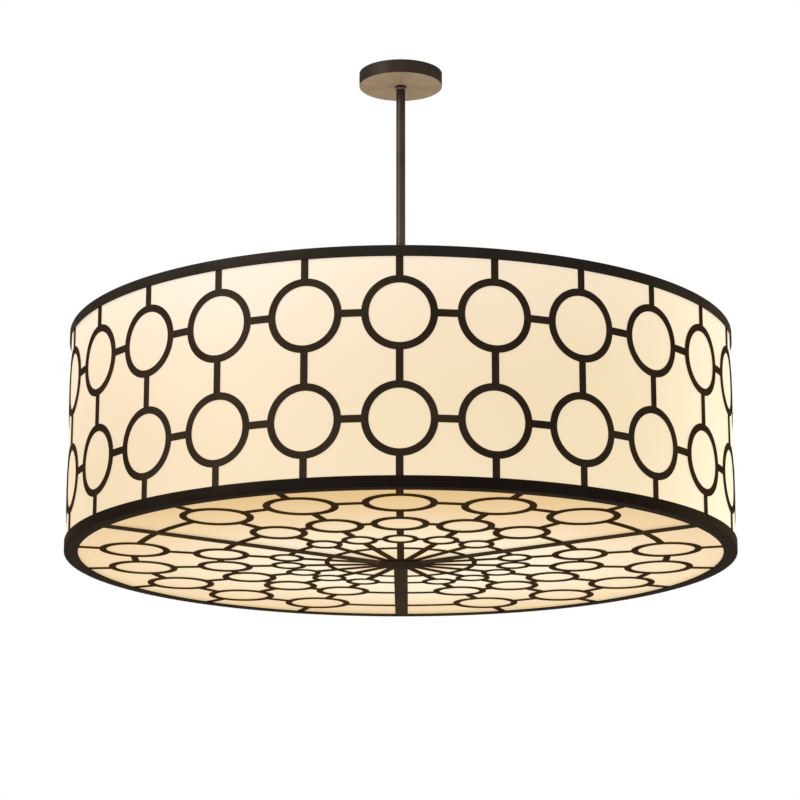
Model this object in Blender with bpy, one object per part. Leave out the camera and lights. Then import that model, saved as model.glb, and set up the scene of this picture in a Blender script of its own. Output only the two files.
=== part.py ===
# Drum chandelier: a canopy and a rigid stem carry a wide drum of ring and bar fretwork
# over a cream acrylic shade, with three lift-out wedge panels closing the bottom.
# Metres, +Z up. The origin is the centre of the canopy's rim, on the ceiling plane,
# and -Y is the front.

import math

import bmesh
import bpy
from mathutils import Matrix, Vector
from mathutils.geometry import delaunay_2d_cdt

# Shared clearances and facets
GAP = 0.0003                   # between pieces that touch
MERGE = 0.00001
EDGE_ANGLE = math.radians(35.0)
DRUM_STEPS = 96                # facets round the drum, a multiple of the columns
THIRDS = 3                     # shade, fretwork, seam bars and panels come in thirds

# Canopy, stem and the collar under the canopy
CANOPY_RADIUS = 0.0785
CANOPY_HEIGHT = 0.026
CANOPY_WALL = 0.0012
CANOPY_CORNER = 0.0012
CANOPY_HOLE_CLEARANCE = 0.0007
STEM_RADIUS = 0.00855
STEM_BORE_RADIUS = 0.0063
STEM_END_IN_CLUSTER = 0.005
STEM_JOINT = -0.360            # where the stem's two tubes meet
SPIGOT_LENGTH = 0.014
SPIGOT_BORE_RADIUS = 0.0046
COLLAR_RADIUS = 0.011
COLLAR_HEIGHT = 0.0065
COLLAR_CHAMFER = 0.001
SET_SCREW_RADIUS = 0.0017
SET_SCREW_PROUD = 0.0003

# Ceiling strap, nipple and hang-straight swivel, all inside the canopy
STRAP_LENGTH = 0.104
STRAP_WIDTH = 0.020
STRAP_THICKNESS = 0.002
STRAP_SLOT_SPACING = 0.0762
STRAP_SLOT_LENGTH = 0.012
STRAP_SLOT_WIDTH = 0.005
NIPPLE_RADIUS = 0.00485
NIPPLE_BORE_RADIUS = 0.0032
NIPPLE_TOP_DEPTH = 0.0005
STRAP_NUT_FLATS = 0.0145
STRAP_NUT_HEIGHT = 0.0035
SOCKET_RADIUS = 0.012
SOCKET_ROOF = 0.0037
BALL_RADIUS = 0.007
BALL_TOP_FLAT = 0.0055         # height of the ball's flat top over its centre
BALL_BORE_RADIUS = 0.0030
BALL_TOP_CLEARANCE = 0.0007
SEAT_WALL = 0.0015
SEAT_TOP_ANGLE = math.radians(22.0)
SEAT_LOW_ANGLE = math.radians(-36.0)
SOCKET_MOUTH_RADIUS = 0.0069
SOCKET_LIP = 0.0003
NECK_RADIUS = 0.0056
STUD_LENGTH = 0.0145
STEM_TOP_CLEARANCE = 0.0013

# Drum rims, shade and side fretwork
DRUM_RADIUS = 0.6096
DRUM_HEIGHT = 0.408
DRUM_TOP = -0.5295
RIM_HEIGHT = 0.01905
RIM_WALL = 0.0014
RIM_FLANGE = 0.0254            # from the rim's outer face to the flange's inner edge
SHADE_WALL = 0.0024
FRET_SHEET = 0.0018
COLUMNS = 24
ROW_SPACING = 0.1786
BAR_WIDTH = 0.0127
SIDE_RING_INNER = 0.0508
SIDE_RING_BAND = 0.0127
SIDE_RING_STEPS = 16
QUADRANT_STEPS = 3             # chords in each quarter of a ring's outline

# Hub, spider arms and their screws
HUB_RADIUS = 0.038
HUB_ROOF = 0.0063              # solid plate over the arm slots
ARM_WIDTH = 0.01905
ARM_THICKNESS = 0.00635
ARM_INNER_END = 0.0145
ARM_END_INSET = 0.0025         # from the shade's inner face
ARM_SCREW_INSET = 0.0085
HUB_NUT_FLATS = 0.027
HUB_NUT_HEIGHT = 0.008
HUB_WASHER_RADIUS = 0.0225
HUB_WASHER_THICKNESS = 0.002
ARM_SCREW_RADIUS = 0.0025
ARM_SCREW_HEAD = 0.0045
ARM_SCREW_HEAD_HEIGHT = 0.0028
ARM_SCREW_TIP = 0.002

# Lamp cluster, arms, sockets and bulbs
LAMPS = 6
CLUSTER_APOTHEM = 0.038
CLUSTER_WALL = 0.0025
CLUSTER_FLOOR = 0.003
CLUSTER_HEIGHT = 0.0507
CLUSTER_TOP = -0.6903
COVER_THICKNESS = 0.003
LAMP_ARM_RADIUS = 0.00635
LAMP_ARM_BORE = 0.0049
LAMP_ARM_END = 0.190
SOCKET_CUP_RADIUS = 0.019
SOCKET_CUP_LENGTH = 0.055
SOCKET_CUP_BACK = 0.029
SOCKET_WIRE_HOLE = 0.0040
BULB_BASE_RADIUS = 0.0133
BULB_LENGTH = 0.106
BULB_RADIUS = 0.030
# Shares of the bulb's length and of its radius past the base, from base to tip
BULB_SHOULDER_SHARES = ((0.26, 0.0), (0.34, 0.16), (0.50, 0.70), (0.63, 0.96),
                        (0.74, 1.0), (0.86, 0.78), (0.955, 0.20))

# Bottom hub, centre rod and seam bars
ROD_RADIUS = 0.00475
ROD_ABOVE_FLOOR = 0.0085
ROD_NUT_FLATS = 0.016
ROD_NUT_HEIGHT = 0.0063
BOTTOM_HUB_RADIUS = 0.040
BOTTOM_HUB_EDGE = 0.002
BOSS_RADIUS = 0.009
BOSS_HEIGHT = 0.012
BOSS_FLOOR = 0.001
SEAM_BAR_WIDTH = 0.0254
SEAM_RIB_WIDTH = 0.0032
SEAM_RIB_HEIGHT = 0.0127

# Bottom panels: a fretwork sheet with an acrylic lens lying on it
PANEL_SAG = 0.0112             # fall of the panels from the rim flange to the hub
PANEL_SIDE_CLEARANCE = 0.0006
PANEL_RIM_CLEARANCE = 0.0015
PANEL_TIP_CLEARANCE = 0.004
PANEL_SHEET = 0.0009
LENS_WALL = 0.003
SPOKES_PER_PANEL = 5
TIP_PLATE_RADIUS = 0.042
CIRCLE_RADIUS = 0.134
CIRCLE_WIDTH = 0.0095
# Shares of the panel's radius in each row: distance out, ring's inner radius, band width
OUTER_ROW_SHARES = (0.8036, 0.0847, 0.0208)
MIDDLE_ROW_SHARES = (0.5449, 0.0643, 0.0203)
INNER_ROW_SHARES = (0.3469, 0.0375, 0.0161)
OUTER_RING_STEPS = 16
MIDDLE_RING_STEPS = 12
INNER_RING_STEPS = 10
ARC_STEP = math.radians(5.0)

# Facets of the turned pieces
FINE_STEPS = 36
ROUND_STEPS = 16
SMALL_STEPS = 12
LAMP_STEPS = 10
HEX_STEPS = 6

# Places worked out from the sizes above
FLANGE_RADIUS = DRUM_RADIUS - RIM_FLANGE
DRUM_BOTTOM = DRUM_TOP - DRUM_HEIGHT
UPPER_FLANGE_UNDERSIDE = DRUM_TOP - RIM_WALL
LOWER_FLANGE_TOP = DRUM_BOTTOM + RIM_WALL
FRET_RADIUS = DRUM_RADIUS - RIM_WALL - GAP
SHADE_RADIUS = FRET_RADIUS - FRET_SHEET - GAP
SHADE_INNER_RADIUS = SHADE_RADIUS - SHADE_WALL
DRUM_MIDDLE = DRUM_TOP - DRUM_HEIGHT / 2
COLUMN_PITCH = 2 * math.pi * FRET_RADIUS / COLUMNS
PANEL_RADIUS = SHADE_INNER_RADIUS - PANEL_RIM_CLEARANCE
THIRD_ANGLE = 2 * math.pi / THIRDS
FRONT_ANGLE = -math.pi / 2
SEAM_EDGE = SEAM_RIB_WIDTH / 2 + PANEL_SIDE_CLEARANCE
HEX_SHARE = 1 / math.cos(math.pi / HEX_STEPS)   # corner radius over apothem
OUTER_ROW = [PANEL_RADIUS * share for share in OUTER_ROW_SHARES]
MIDDLE_ROW = [PANEL_RADIUS * share for share in MIDDLE_ROW_SHARES]
INNER_ROW = [PANEL_RADIUS * share for share in INNER_ROW_SHARES]

STRAP_NUT_TOP = -STRAP_THICKNESS - GAP
SOCKET_TOP = STRAP_NUT_TOP - STRAP_NUT_HEIGHT - GAP
SOCKET_CEILING = SOCKET_TOP - SOCKET_ROOF
BALL_HEIGHT = SOCKET_CEILING - BALL_TOP_CLEARANCE - BALL_TOP_FLAT
SEAT_INNER_RADIUS = BALL_RADIUS + GAP
SEAT_RADIUS = SEAT_INNER_RADIUS + SEAT_WALL
CAVITY_RADIUS = SEAT_RADIUS + GAP
MOUTH_DROP = math.sqrt(CAVITY_RADIUS ** 2 - SOCKET_MOUTH_RADIUS ** 2)
SOCKET_BOTTOM = BALL_HEIGHT - MOUTH_DROP - SOCKET_LIP
STEM_TOP = SOCKET_BOTTOM - STEM_TOP_CLEARANCE
CLUSTER_BOTTOM = CLUSTER_TOP - CLUSTER_HEIGHT
STEM_BOTTOM = CLUSTER_TOP - STEM_END_IN_CLUSTER
LAMP_HEIGHT = (CLUSTER_TOP + CLUSTER_BOTTOM) / 2

ARM_TOP = UPPER_FLANGE_UNDERSIDE - GAP
ARM_BOTTOM = ARM_TOP - ARM_THICKNESS
ARM_OUTER_END = SHADE_INNER_RADIUS - ARM_END_INSET
ARM_SCREW_PLACE = ARM_OUTER_END - ARM_SCREW_INSET
HUB_TOP = ARM_TOP + GAP + HUB_ROOF


def panel_underside(radius):
    """Height of the bottom fretwork's underside: a shallow cone from the flange to the hub."""
    fall = PANEL_SAG * (FLANGE_RADIUS - radius) / (FLANGE_RADIUS - BOTTOM_HUB_RADIUS)
    return LOWER_FLANGE_TOP + GAP - fall


def clear_scene():
    for scene_object in list(bpy.data.objects):
        bpy.data.objects.remove(scene_object)


def finish(name, colour, roughness, metallic, transmission=0.0, glow=0.0):
    """A Principled material; glow is the emission strength in the same colour."""
    material = bpy.data.materials.new(name)
    material.use_nodes = True
    shader = material.node_tree.nodes["Principled BSDF"]
    shader.inputs["Base Color"].default_value = (*colour, 1.0)
    shader.inputs["Roughness"].default_value = roughness
    shader.inputs["Metallic"].default_value = metallic
    shader.inputs["Transmission Weight"].default_value = transmission
    shader.inputs["Emission Color"].default_value = (*colour, 1.0)
    shader.inputs["Emission Strength"].default_value = glow
    return material


def mesh_from(builder_mesh, name):
    """Close the builder mesh, point its faces outwards and smooth what is round."""
    bmesh.ops.remove_doubles(builder_mesh, verts=builder_mesh.verts, dist=MERGE)
    bmesh.ops.recalc_face_normals(builder_mesh, faces=builder_mesh.faces)
    mesh = bpy.data.meshes.new(name)
    builder_mesh.to_mesh(mesh)
    builder_mesh.free()
    mesh.shade_smooth()
    mesh.set_sharp_from_angle(angle=EDGE_ANGLE)
    return mesh


def swept_mesh(name, sections, closed=False, open_profile=False):
    """Skin a run of matching sections; an open profile starts and ends on the axis."""
    builder_mesh = bmesh.new()
    rows = [[builder_mesh.verts.new(point) for point in section] for section in sections]
    side_count = len(sections[0]) - (1 if open_profile else 0)
    row_count = len(rows) if closed else len(rows) - 1
    for index in range(row_count):
        row, following = rows[index], rows[(index + 1) % len(rows)]
        for side in range(side_count):
            other = (side + 1) % len(row)
            builder_mesh.faces.new((row[side], row[other], following[other], following[side]))
    if not closed:
        builder_mesh.faces.new(rows[0])
        builder_mesh.faces.new(rows[-1])
    return mesh_from(builder_mesh, name)


def turned_mesh(name, profile, steps, open_profile=False, first_share=0.0):
    """Turn a profile of (radius, height) about Z; first_share shifts the first facet."""
    angles = [2 * math.pi * (step + first_share) / steps for step in range(steps)]
    sections = [[(radius * math.cos(angle), radius * math.sin(angle), height)
                 for radius, height in profile] for angle in angles]
    return swept_mesh(name, sections, closed=True, open_profile=open_profile)


def tube_profile(inner, outer, bottom, top):
    return [(outer, bottom), (outer, top), (inner, top), (inner, bottom)]


def inside_loops(point, loops):
    """Even and odd crossings: true inside the outline and outside its holes."""
    crossings = 0
    for loop in loops:
        for start, stop in zip(loop, loop[1:] + loop[:1]):
            if (start[1] > point.y) != (stop[1] > point.y):
                share = (point.y - start[1]) / (stop[1] - start[1])
                crossings += point.x < start[0] + share * (stop[0] - start[0])
    return crossings % 2 == 1


def plate_mesh(name, loops, low, high, place):
    """Cut a sheet from an outline and its holes; place(x, y, depth) bends it to its form."""
    flat_points = [Vector(point) for loop in loops for point in loop]
    flat_edges = []
    first = 0
    for loop in loops:
        flat_edges += [(first + k, first + (k + 1) % len(loop)) for k in range(len(loop))]
        first += len(loop)
    points, _, triangles, *_ = delaunay_2d_cdt(flat_points, flat_edges, [], 0, MERGE / 10)
    kept = [tuple(triangle) for triangle in triangles
            if inside_loops(sum((points[k] for k in triangle), Vector((0, 0))) / 3, loops)]
    builder_mesh = bmesh.new()
    used = sorted({k for triangle in kept for k in triangle})
    lower = {k: builder_mesh.verts.new(place(points[k].x, points[k].y, low)) for k in used}
    upper = {k: builder_mesh.verts.new(place(points[k].x, points[k].y, high)) for k in used}
    directed = set()
    for triangle in kept:
        builder_mesh.faces.new([upper[k] for k in triangle])
        builder_mesh.faces.new([lower[k] for k in reversed(triangle)])
        directed.update(zip(triangle, triangle[1:] + triangle[:1]))
    for start, stop in sorted(directed):
        if (stop, start) not in directed:
            builder_mesh.faces.new((lower[start], lower[stop], upper[stop], upper[start]))
    return mesh_from(builder_mesh, name)


def flat_place(x, y, depth):
    return (x, y, depth)


def box_mesh(name, low, high):
    """A block between two corners."""
    outline = [(low[0], low[1]), (high[0], low[1]), (high[0], high[1]), (low[0], high[1])]
    return plate_mesh(name, [outline], low[2], high[2], flat_place)


def circle_loop(x, y, radius, steps):
    angles = [2 * math.pi * step / steps for step in range(steps)]
    return [(x + radius * math.cos(angle), y + radius * math.sin(angle)) for angle in angles]


def arc_points(x, y, radius, start, stop, steps):
    """Points on an arc, both ends with it."""
    angles = [start + (stop - start) * step / steps for step in range(steps + 1)]
    return [(x + radius * math.cos(angle), y + radius * math.sin(angle)) for angle in angles]


def add_piece(name, mesh, material, parent=None, turn=(0.0, 0.0, 0.0), at=(0.0, 0.0, 0.0)):
    """Place a mesh in the world and hang it on its parent without moving it."""
    piece = bpy.data.objects.new(name, mesh)
    bpy.context.scene.collection.objects.link(piece)
    if not mesh.materials:
        mesh.materials.append(material)
    piece.location = at
    piece.rotation_euler = turn
    if parent is not None:
        piece.parent = parent
        piece.matrix_parent_inverse = Matrix.Translation(parent.location).inverted()
    return piece


def add_pivot(name, at):
    pivot = bpy.data.objects.new(name, None)
    bpy.context.scene.collection.objects.link(pivot)
    pivot.location = at
    return pivot


def cut_away(piece, cutter_mesh, turn=(0.0, 0.0, 0.0), at=(0.0, 0.0, 0.0)):
    """Subtract a hidden cutter that stays in the file as a guide."""
    cutter = bpy.data.objects.new(piece.name + "_cutter", cutter_mesh)
    bpy.context.scene.collection.objects.link(cutter)
    cutter.location = at
    cutter.rotation_euler = turn
    cutter.hide_render = True
    cutter.display_type = "WIRE"
    cut = piece.modifiers.new("cut", "BOOLEAN")
    cut.operation = "DIFFERENCE"
    cut.object = cutter


def hex_bored(name, flats, bore, bottom, top):
    """A hexagon nut with a round bore, lying flat."""
    outline = circle_loop(0, 0, flats / 2 * HEX_SHARE, HEX_STEPS)
    hole = circle_loop(0, 0, bore, SMALL_STEPS)
    return plate_mesh(name, [outline, hole], bottom, top, flat_place)


def ceiling_parts(materials):
    """The strap that is screwed to the ceiling box, and the fixed half of the swivel."""
    end_radius = STRAP_WIDTH / 2
    end_centre = STRAP_LENGTH / 2 - end_radius
    outline = (arc_points(end_centre, 0, end_radius, -math.pi / 2, math.pi / 2, HEX_STEPS)
               + arc_points(-end_centre, 0, end_radius, math.pi / 2, 3 * math.pi / 2, HEX_STEPS))
    loops = [outline, circle_loop(0, 0, NIPPLE_RADIUS + GAP, SMALL_STEPS)]
    slot_end = (STRAP_SLOT_LENGTH - STRAP_SLOT_WIDTH) / 2
    for side in (-1, 1):
        middle = side * STRAP_SLOT_SPACING / 2
        right = arc_points(middle + slot_end, 0, STRAP_SLOT_WIDTH / 2,
                           -math.pi / 2, math.pi / 2, QUADRANT_STEPS)
        left = arc_points(middle - slot_end, 0, STRAP_SLOT_WIDTH / 2,
                          math.pi / 2, 3 * math.pi / 2, QUADRANT_STEPS)
        loops.append(right + left)
    strap = plate_mesh("mounting_strap", loops, -STRAP_THICKNESS, 0, flat_place)
    add_piece("mounting_strap", strap, materials["zinc"])

    nut = hex_bored("strap_nut", STRAP_NUT_FLATS, NIPPLE_RADIUS + GAP,
                    STRAP_NUT_TOP - STRAP_NUT_HEIGHT, STRAP_NUT_TOP)
    add_piece("strap_nut", nut, materials["zinc"])

    nipple = turned_mesh("swivel_nipple", tube_profile(
        NIPPLE_BORE_RADIUS, NIPPLE_RADIUS, SOCKET_CEILING, -NIPPLE_TOP_DEPTH), SMALL_STEPS)
    add_piece("swivel_nipple", nipple, materials["brass"])

    mouth_angle = -math.acos(SOCKET_MOUTH_RADIUS / CAVITY_RADIUS)
    cavity = arc_points(0, BALL_HEIGHT, CAVITY_RADIUS, 0, mouth_angle, QUADRANT_STEPS)
    profile = ([(SOCKET_RADIUS, SOCKET_BOTTOM), (SOCKET_RADIUS, SOCKET_TOP),
                (NIPPLE_RADIUS + GAP, SOCKET_TOP), (NIPPLE_RADIUS + GAP, SOCKET_CEILING),
                (CAVITY_RADIUS, SOCKET_CEILING)]
               + cavity + [(SOCKET_MOUTH_RADIUS, SOCKET_BOTTOM)])
    socket = turned_mesh("swivel_socket", profile, SMALL_STEPS)
    add_piece("swivel_socket", socket, materials["brass"])


def swivel_parts(materials, swing):
    """The bearing ring, its ball, and the stem: two tubes that join end to end."""
    outer = arc_points(0, 0, SEAT_RADIUS, SEAT_LOW_ANGLE, SEAT_TOP_ANGLE, QUADRANT_STEPS)
    inner = arc_points(0, 0, SEAT_INNER_RADIUS, SEAT_TOP_ANGLE, SEAT_LOW_ANGLE, QUADRANT_STEPS)
    seat = turned_mesh("swivel_seat", outer + inner, SMALL_STEPS)
    add_piece("swivel_seat", seat, materials["nylon"], at=(0, 0, BALL_HEIGHT))

    flat_angle = math.asin(BALL_TOP_FLAT / BALL_RADIUS)
    neck_angle = -math.acos(NECK_RADIUS / BALL_RADIUS)
    ball = arc_points(0, BALL_HEIGHT, BALL_RADIUS, neck_angle, flat_angle, HEX_STEPS)
    stud_radius = STEM_BORE_RADIUS - GAP
    stud_bottom = STEM_TOP - STUD_LENGTH
    profile = ([(BALL_BORE_RADIUS, stud_bottom), (stud_radius, stud_bottom),
                (stud_radius, STEM_TOP), (NECK_RADIUS, STEM_TOP)]
               + ball + [(BALL_BORE_RADIUS, BALL_HEIGHT + BALL_TOP_FLAT)])
    ball_mesh = turned_mesh("swivel_ball", profile, SMALL_STEPS)
    add_piece("swivel_ball", ball_mesh, materials["brass"], swing)

    upper = turned_mesh("stem_upper", tube_profile(
        STEM_BORE_RADIUS, STEM_RADIUS, STEM_JOINT, STEM_TOP), ROUND_STEPS)
    add_piece("stem_upper", upper, materials["bronze"], swing)

    shoulder = STEM_JOINT - GAP
    spigot_radius = STEM_BORE_RADIUS - GAP
    spigot_top = STEM_JOINT + SPIGOT_LENGTH
    bore_top = shoulder - SPIGOT_LENGTH
    profile = [(STEM_BORE_RADIUS, STEM_BOTTOM), (STEM_RADIUS, STEM_BOTTOM),
               (STEM_RADIUS, shoulder), (spigot_radius, shoulder),
               (spigot_radius, spigot_top), (SPIGOT_BORE_RADIUS, spigot_top),
               (SPIGOT_BORE_RADIUS, bore_top), (STEM_BORE_RADIUS, bore_top)]
    add_piece("stem_lower", turned_mesh("stem_lower", profile, ROUND_STEPS),
              materials["bronze"], swing)


def canopy_parts(materials, slide):
    """The shallow cup over the ceiling box and the collar that holds it up the stem."""
    inner = CANOPY_RADIUS - CANOPY_WALL
    floor = CANOPY_WALL - CANOPY_HEIGHT
    hole = STEM_RADIUS + CANOPY_HOLE_CLEARANCE
    profile = [(hole, -CANOPY_HEIGHT), (CANOPY_RADIUS - CANOPY_CORNER, -CANOPY_HEIGHT),
               (CANOPY_RADIUS, CANOPY_CORNER - CANOPY_HEIGHT), (CANOPY_RADIUS, 0),
               (inner, 0), (inner, floor), (hole, floor)]
    canopy = turned_mesh("canopy", profile, FINE_STEPS)
    add_piece("canopy", canopy, materials["bronze"], slide)

    top = -CANOPY_HEIGHT - GAP
    bottom = top - COLLAR_HEIGHT
    bore = STEM_RADIUS + GAP
    profile = [(bore, bottom), (COLLAR_RADIUS - COLLAR_CHAMFER, bottom),
               (COLLAR_RADIUS, bottom + COLLAR_CHAMFER), (COLLAR_RADIUS, top), (bore, top)]
    collar = add_piece("canopy_collar", turned_mesh("canopy_collar", profile, ROUND_STEPS),
                       materials["bronze"], slide)
    screw_height = (top + bottom) / 2
    screw_length = COLLAR_RADIUS + SET_SCREW_PROUD - bore
    sideways = (-math.pi / 2, 0, 0)
    hole_cutter = turned_mesh("set_screw_hole", [
        (0, 0), (SET_SCREW_RADIUS + GAP, 0),
        (SET_SCREW_RADIUS + GAP, COLLAR_RADIUS * 2), (0, COLLAR_RADIUS * 2)],
        SMALL_STEPS, open_profile=True)
    cut_away(collar, hole_cutter, sideways, (0, 0, screw_height))
    screw = turned_mesh("collar_set_screw", [
        (0, 0), (SET_SCREW_RADIUS, 0), (SET_SCREW_RADIUS, screw_length), (0, screw_length)],
        SMALL_STEPS, open_profile=True)
    add_piece("collar_set_screw", screw, materials["zinc"], slide, sideways,
              (0, bore, screw_height))


def spider_parts(materials, swing):
    """The hub clamped on the stem and the three arms that carry the drum's upper rim."""
    profile = tube_profile(STEM_RADIUS + GAP, HUB_RADIUS, ARM_BOTTOM, HUB_TOP)
    hub = add_piece("top_hub", turned_mesh("top_hub", profile, ROUND_STEPS),
                    materials["zinc"], swing)
    upper_nut = hex_bored("hub_upper_nut", HUB_NUT_FLATS, STEM_RADIUS + GAP,
                          HUB_TOP + GAP, HUB_TOP + GAP + HUB_NUT_HEIGHT)
    add_piece("hub_upper_nut", upper_nut, materials["zinc"], swing)

    washer_top = ARM_BOTTOM - GAP
    nut_top = washer_top - HUB_WASHER_THICKNESS
    nut_corner = HUB_NUT_FLATS / 2 * HEX_SHARE
    bore = STEM_RADIUS + GAP
    profile = [(bore, nut_top - HUB_NUT_HEIGHT), (nut_corner, nut_top - HUB_NUT_HEIGHT),
               (nut_corner, nut_top), (HUB_WASHER_RADIUS, nut_top),
               (HUB_WASHER_RADIUS, washer_top), (bore, washer_top)]
    add_piece("hub_lower_nut", turned_mesh("hub_lower_nut", profile, SMALL_STEPS),
              materials["zinc"], swing)

    arm_outline = [(ARM_INNER_END, -ARM_WIDTH / 2), (ARM_OUTER_END, -ARM_WIDTH / 2),
                   (ARM_OUTER_END, ARM_WIDTH / 2), (ARM_INNER_END, ARM_WIDTH / 2)]
    screw_hole = circle_loop(ARM_SCREW_PLACE, 0, ARM_SCREW_RADIUS + GAP, SMALL_STEPS)
    arm = plate_mesh("top_arm", [arm_outline, screw_hole], ARM_BOTTOM, ARM_TOP, flat_place)
    head_top = ARM_BOTTOM - GAP
    screw = turned_mesh("arm_screw", [
        (0, head_top - ARM_SCREW_HEAD_HEIGHT), (ARM_SCREW_HEAD, head_top - ARM_SCREW_HEAD_HEIGHT),
        (ARM_SCREW_HEAD, head_top), (ARM_SCREW_RADIUS, head_top),
        (ARM_SCREW_RADIUS, DRUM_TOP + ARM_SCREW_TIP), (0, DRUM_TOP + ARM_SCREW_TIP)],
        SMALL_STEPS, open_profile=True)
    slot_half = ARM_WIDTH / 2 + GAP
    slot = box_mesh("arm_slot", (ARM_INNER_END - GAP, -slot_half, ARM_BOTTOM - HUB_ROOF),
                    (HUB_RADIUS * 2, slot_half, ARM_TOP + GAP))
    for number in range(THIRDS):
        angle = FRONT_ANGLE + THIRD_ANGLE * (number + 0.5)
        turn = (0, 0, angle)
        place = (ARM_SCREW_PLACE * math.cos(angle), ARM_SCREW_PLACE * math.sin(angle), 0)
        add_piece("top_arm_%d" % (number + 1), arm, materials["bronze"], swing, turn)
        add_piece("arm_screw_%d" % (number + 1), screw, materials["zinc"], swing, turn, place)
        cut_away(hub, slot, turn)


def rim_profile(flange_face, direction):
    """An angle section; direction is +1 where the flange is at the bottom."""
    outer = DRUM_RADIUS
    inner = DRUM_RADIUS - RIM_WALL
    return [(outer, flange_face), (outer, flange_face + direction * RIM_HEIGHT),
            (inner, flange_face + direction * RIM_HEIGHT),
            (inner, flange_face + direction * RIM_WALL),
            (FLANGE_RADIUS, flange_face + direction * RIM_WALL), (FLANGE_RADIUS, flange_face)]


def rim_parts(materials, swing):
    """The two angle-section rims of the drum."""
    upper = add_piece("upper_rim", turned_mesh("upper_rim", rim_profile(DRUM_TOP, -1), DRUM_STEPS),
                      materials["bronze"], swing)
    add_piece("lower_rim", turned_mesh("lower_rim", rim_profile(DRUM_BOTTOM, 1), DRUM_STEPS),
              materials["bronze"], swing)
    hole_radius = ARM_SCREW_RADIUS + GAP
    hole = turned_mesh("rim_screw_hole", [
        (0, UPPER_FLANGE_UNDERSIDE - RIM_WALL), (hole_radius, UPPER_FLANGE_UNDERSIDE - RIM_WALL),
        (hole_radius, DRUM_TOP + RIM_WALL), (0, DRUM_TOP + RIM_WALL)],
        SMALL_STEPS, open_profile=True, first_share=0.25)
    for number in range(THIRDS):
        angle = FRONT_ANGLE + THIRD_ANGLE * (number + 0.5)
        place = (ARM_SCREW_PLACE * math.cos(angle), ARM_SCREW_PLACE * math.sin(angle), 0)
        cut_away(upper, hole, (0, 0, angle), place)


def shade_parts(materials, swing):
    """Three curved acrylic sheets standing on the lower flange."""
    bottom = LOWER_FLANGE_TOP + GAP
    top = UPPER_FLANGE_UNDERSIDE - GAP
    steps = DRUM_STEPS // THIRDS
    edge = GAP / SHADE_RADIUS
    angles = [THIRD_ANGLE * (step / steps - 0.5) for step in range(steps + 1)]
    angles[0] += edge
    angles[-1] -= edge
    profile = tube_profile(SHADE_INNER_RADIUS, SHADE_RADIUS, bottom, top)
    sections = [[(radius * math.cos(angle), radius * math.sin(angle), height)
                 for radius, height in profile] for angle in angles]
    segment = swept_mesh("shade_segment", sections)
    for number in range(THIRDS):
        add_piece("shade_segment_%d" % (number + 1), segment, materials["acrylic"], swing,
                  (0, 0, FRONT_ANGLE + THIRD_ANGLE * number))


def side_fretwork_loops():
    """Outline and holes of eight columns of linked rings, in the flat sheet before rolling."""
    half = BAR_WIDTH / 2
    ring = SIDE_RING_INNER + SIDE_RING_BAND
    joint = math.asin(half / ring)
    quarter = math.pi / 2
    low_row, high_row = DRUM_MIDDLE - ROW_SPACING / 2, DRUM_MIDDLE + ROW_SPACING / 2
    bar_bottom, bar_top = LOWER_FLANGE_TOP + GAP, UPPER_FLANGE_UNDERSIDE - GAP
    columns = COLUMNS // THIRDS
    left_end, right_end = GAP / 2, columns * COLUMN_PITCH - GAP / 2

    def corner(column, row, quadrant, backwards=False):
        """The quarter of a ring's outline between two of its bars."""
        start, stop = quadrant * quarter + joint, (quadrant + 1) * quarter - joint
        if backwards:
            start, stop = stop, start
        centre = (column + 0.5) * COLUMN_PITCH
        return arc_points(centre, row, ring, start, stop, QUADRANT_STEPS)

    lower_edge, upper_edge, loops = [], [], []
    for column in range(columns):
        centre = (column + 0.5) * COLUMN_PITCH
        middle = (column + 1) * COLUMN_PITCH
        lower_edge += corner(column, low_row, 2)
        lower_edge += [(centre - half, bar_bottom), (centre + half, bar_bottom)]
        lower_edge += corner(column, low_row, 3)
        upper_edge += corner(column, high_row, 1, True)
        upper_edge += [(centre - half, bar_top), (centre + half, bar_top)]
        upper_edge += corner(column, high_row, 0, True)
        for row in (low_row, high_row):
            loops.append(circle_loop(centre, row, SIDE_RING_INNER, SIDE_RING_STEPS))
        if column < columns - 1:
            lower_edge.append((middle, low_row - half))
            upper_edge.append((middle, high_row + half))
            loops.append([(middle, low_row + half)] + corner(column + 1, low_row, 1, True)
                         + corner(column + 1, high_row, 2, True) + [(middle, high_row - half)]
                         + corner(column, high_row, 3, True) + corner(column, low_row, 0, True))
    right_edge = ([(right_end, low_row - half), (right_end, low_row + half)]
                  + corner(columns - 1, low_row, 0) + corner(columns - 1, high_row, 3)
                  + [(right_end, high_row - half), (right_end, high_row + half)])
    left_edge = ([(left_end, high_row + half), (left_end, high_row - half)]
                 + corner(0, high_row, 2) + corner(0, low_row, 1)
                 + [(left_end, low_row + half), (left_end, low_row - half)])
    return [lower_edge + right_edge + upper_edge[::-1] + left_edge] + loops


def side_fretwork_parts(materials, swing):
    """Three rolled sheets of fretwork between the rims, meeting halfway between columns."""
    def rolled(x, y, depth):
        radius = FRET_RADIUS - depth
        angle = x / FRET_RADIUS
        return (radius * math.cos(angle), radius * math.sin(angle), y)

    sheet = plate_mesh("side_fretwork", side_fretwork_loops(), FRET_SHEET, 0, rolled)
    half_bay = math.pi / COLUMNS
    first_edge = FRONT_ANGLE - THIRD_ANGLE / 2 + half_bay
    for number in range(THIRDS):
        add_piece("side_fretwork_%d" % (number + 1), sheet, materials["bronze"], swing,
                  (0, 0, first_edge + THIRD_ANGLE * number))


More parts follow.
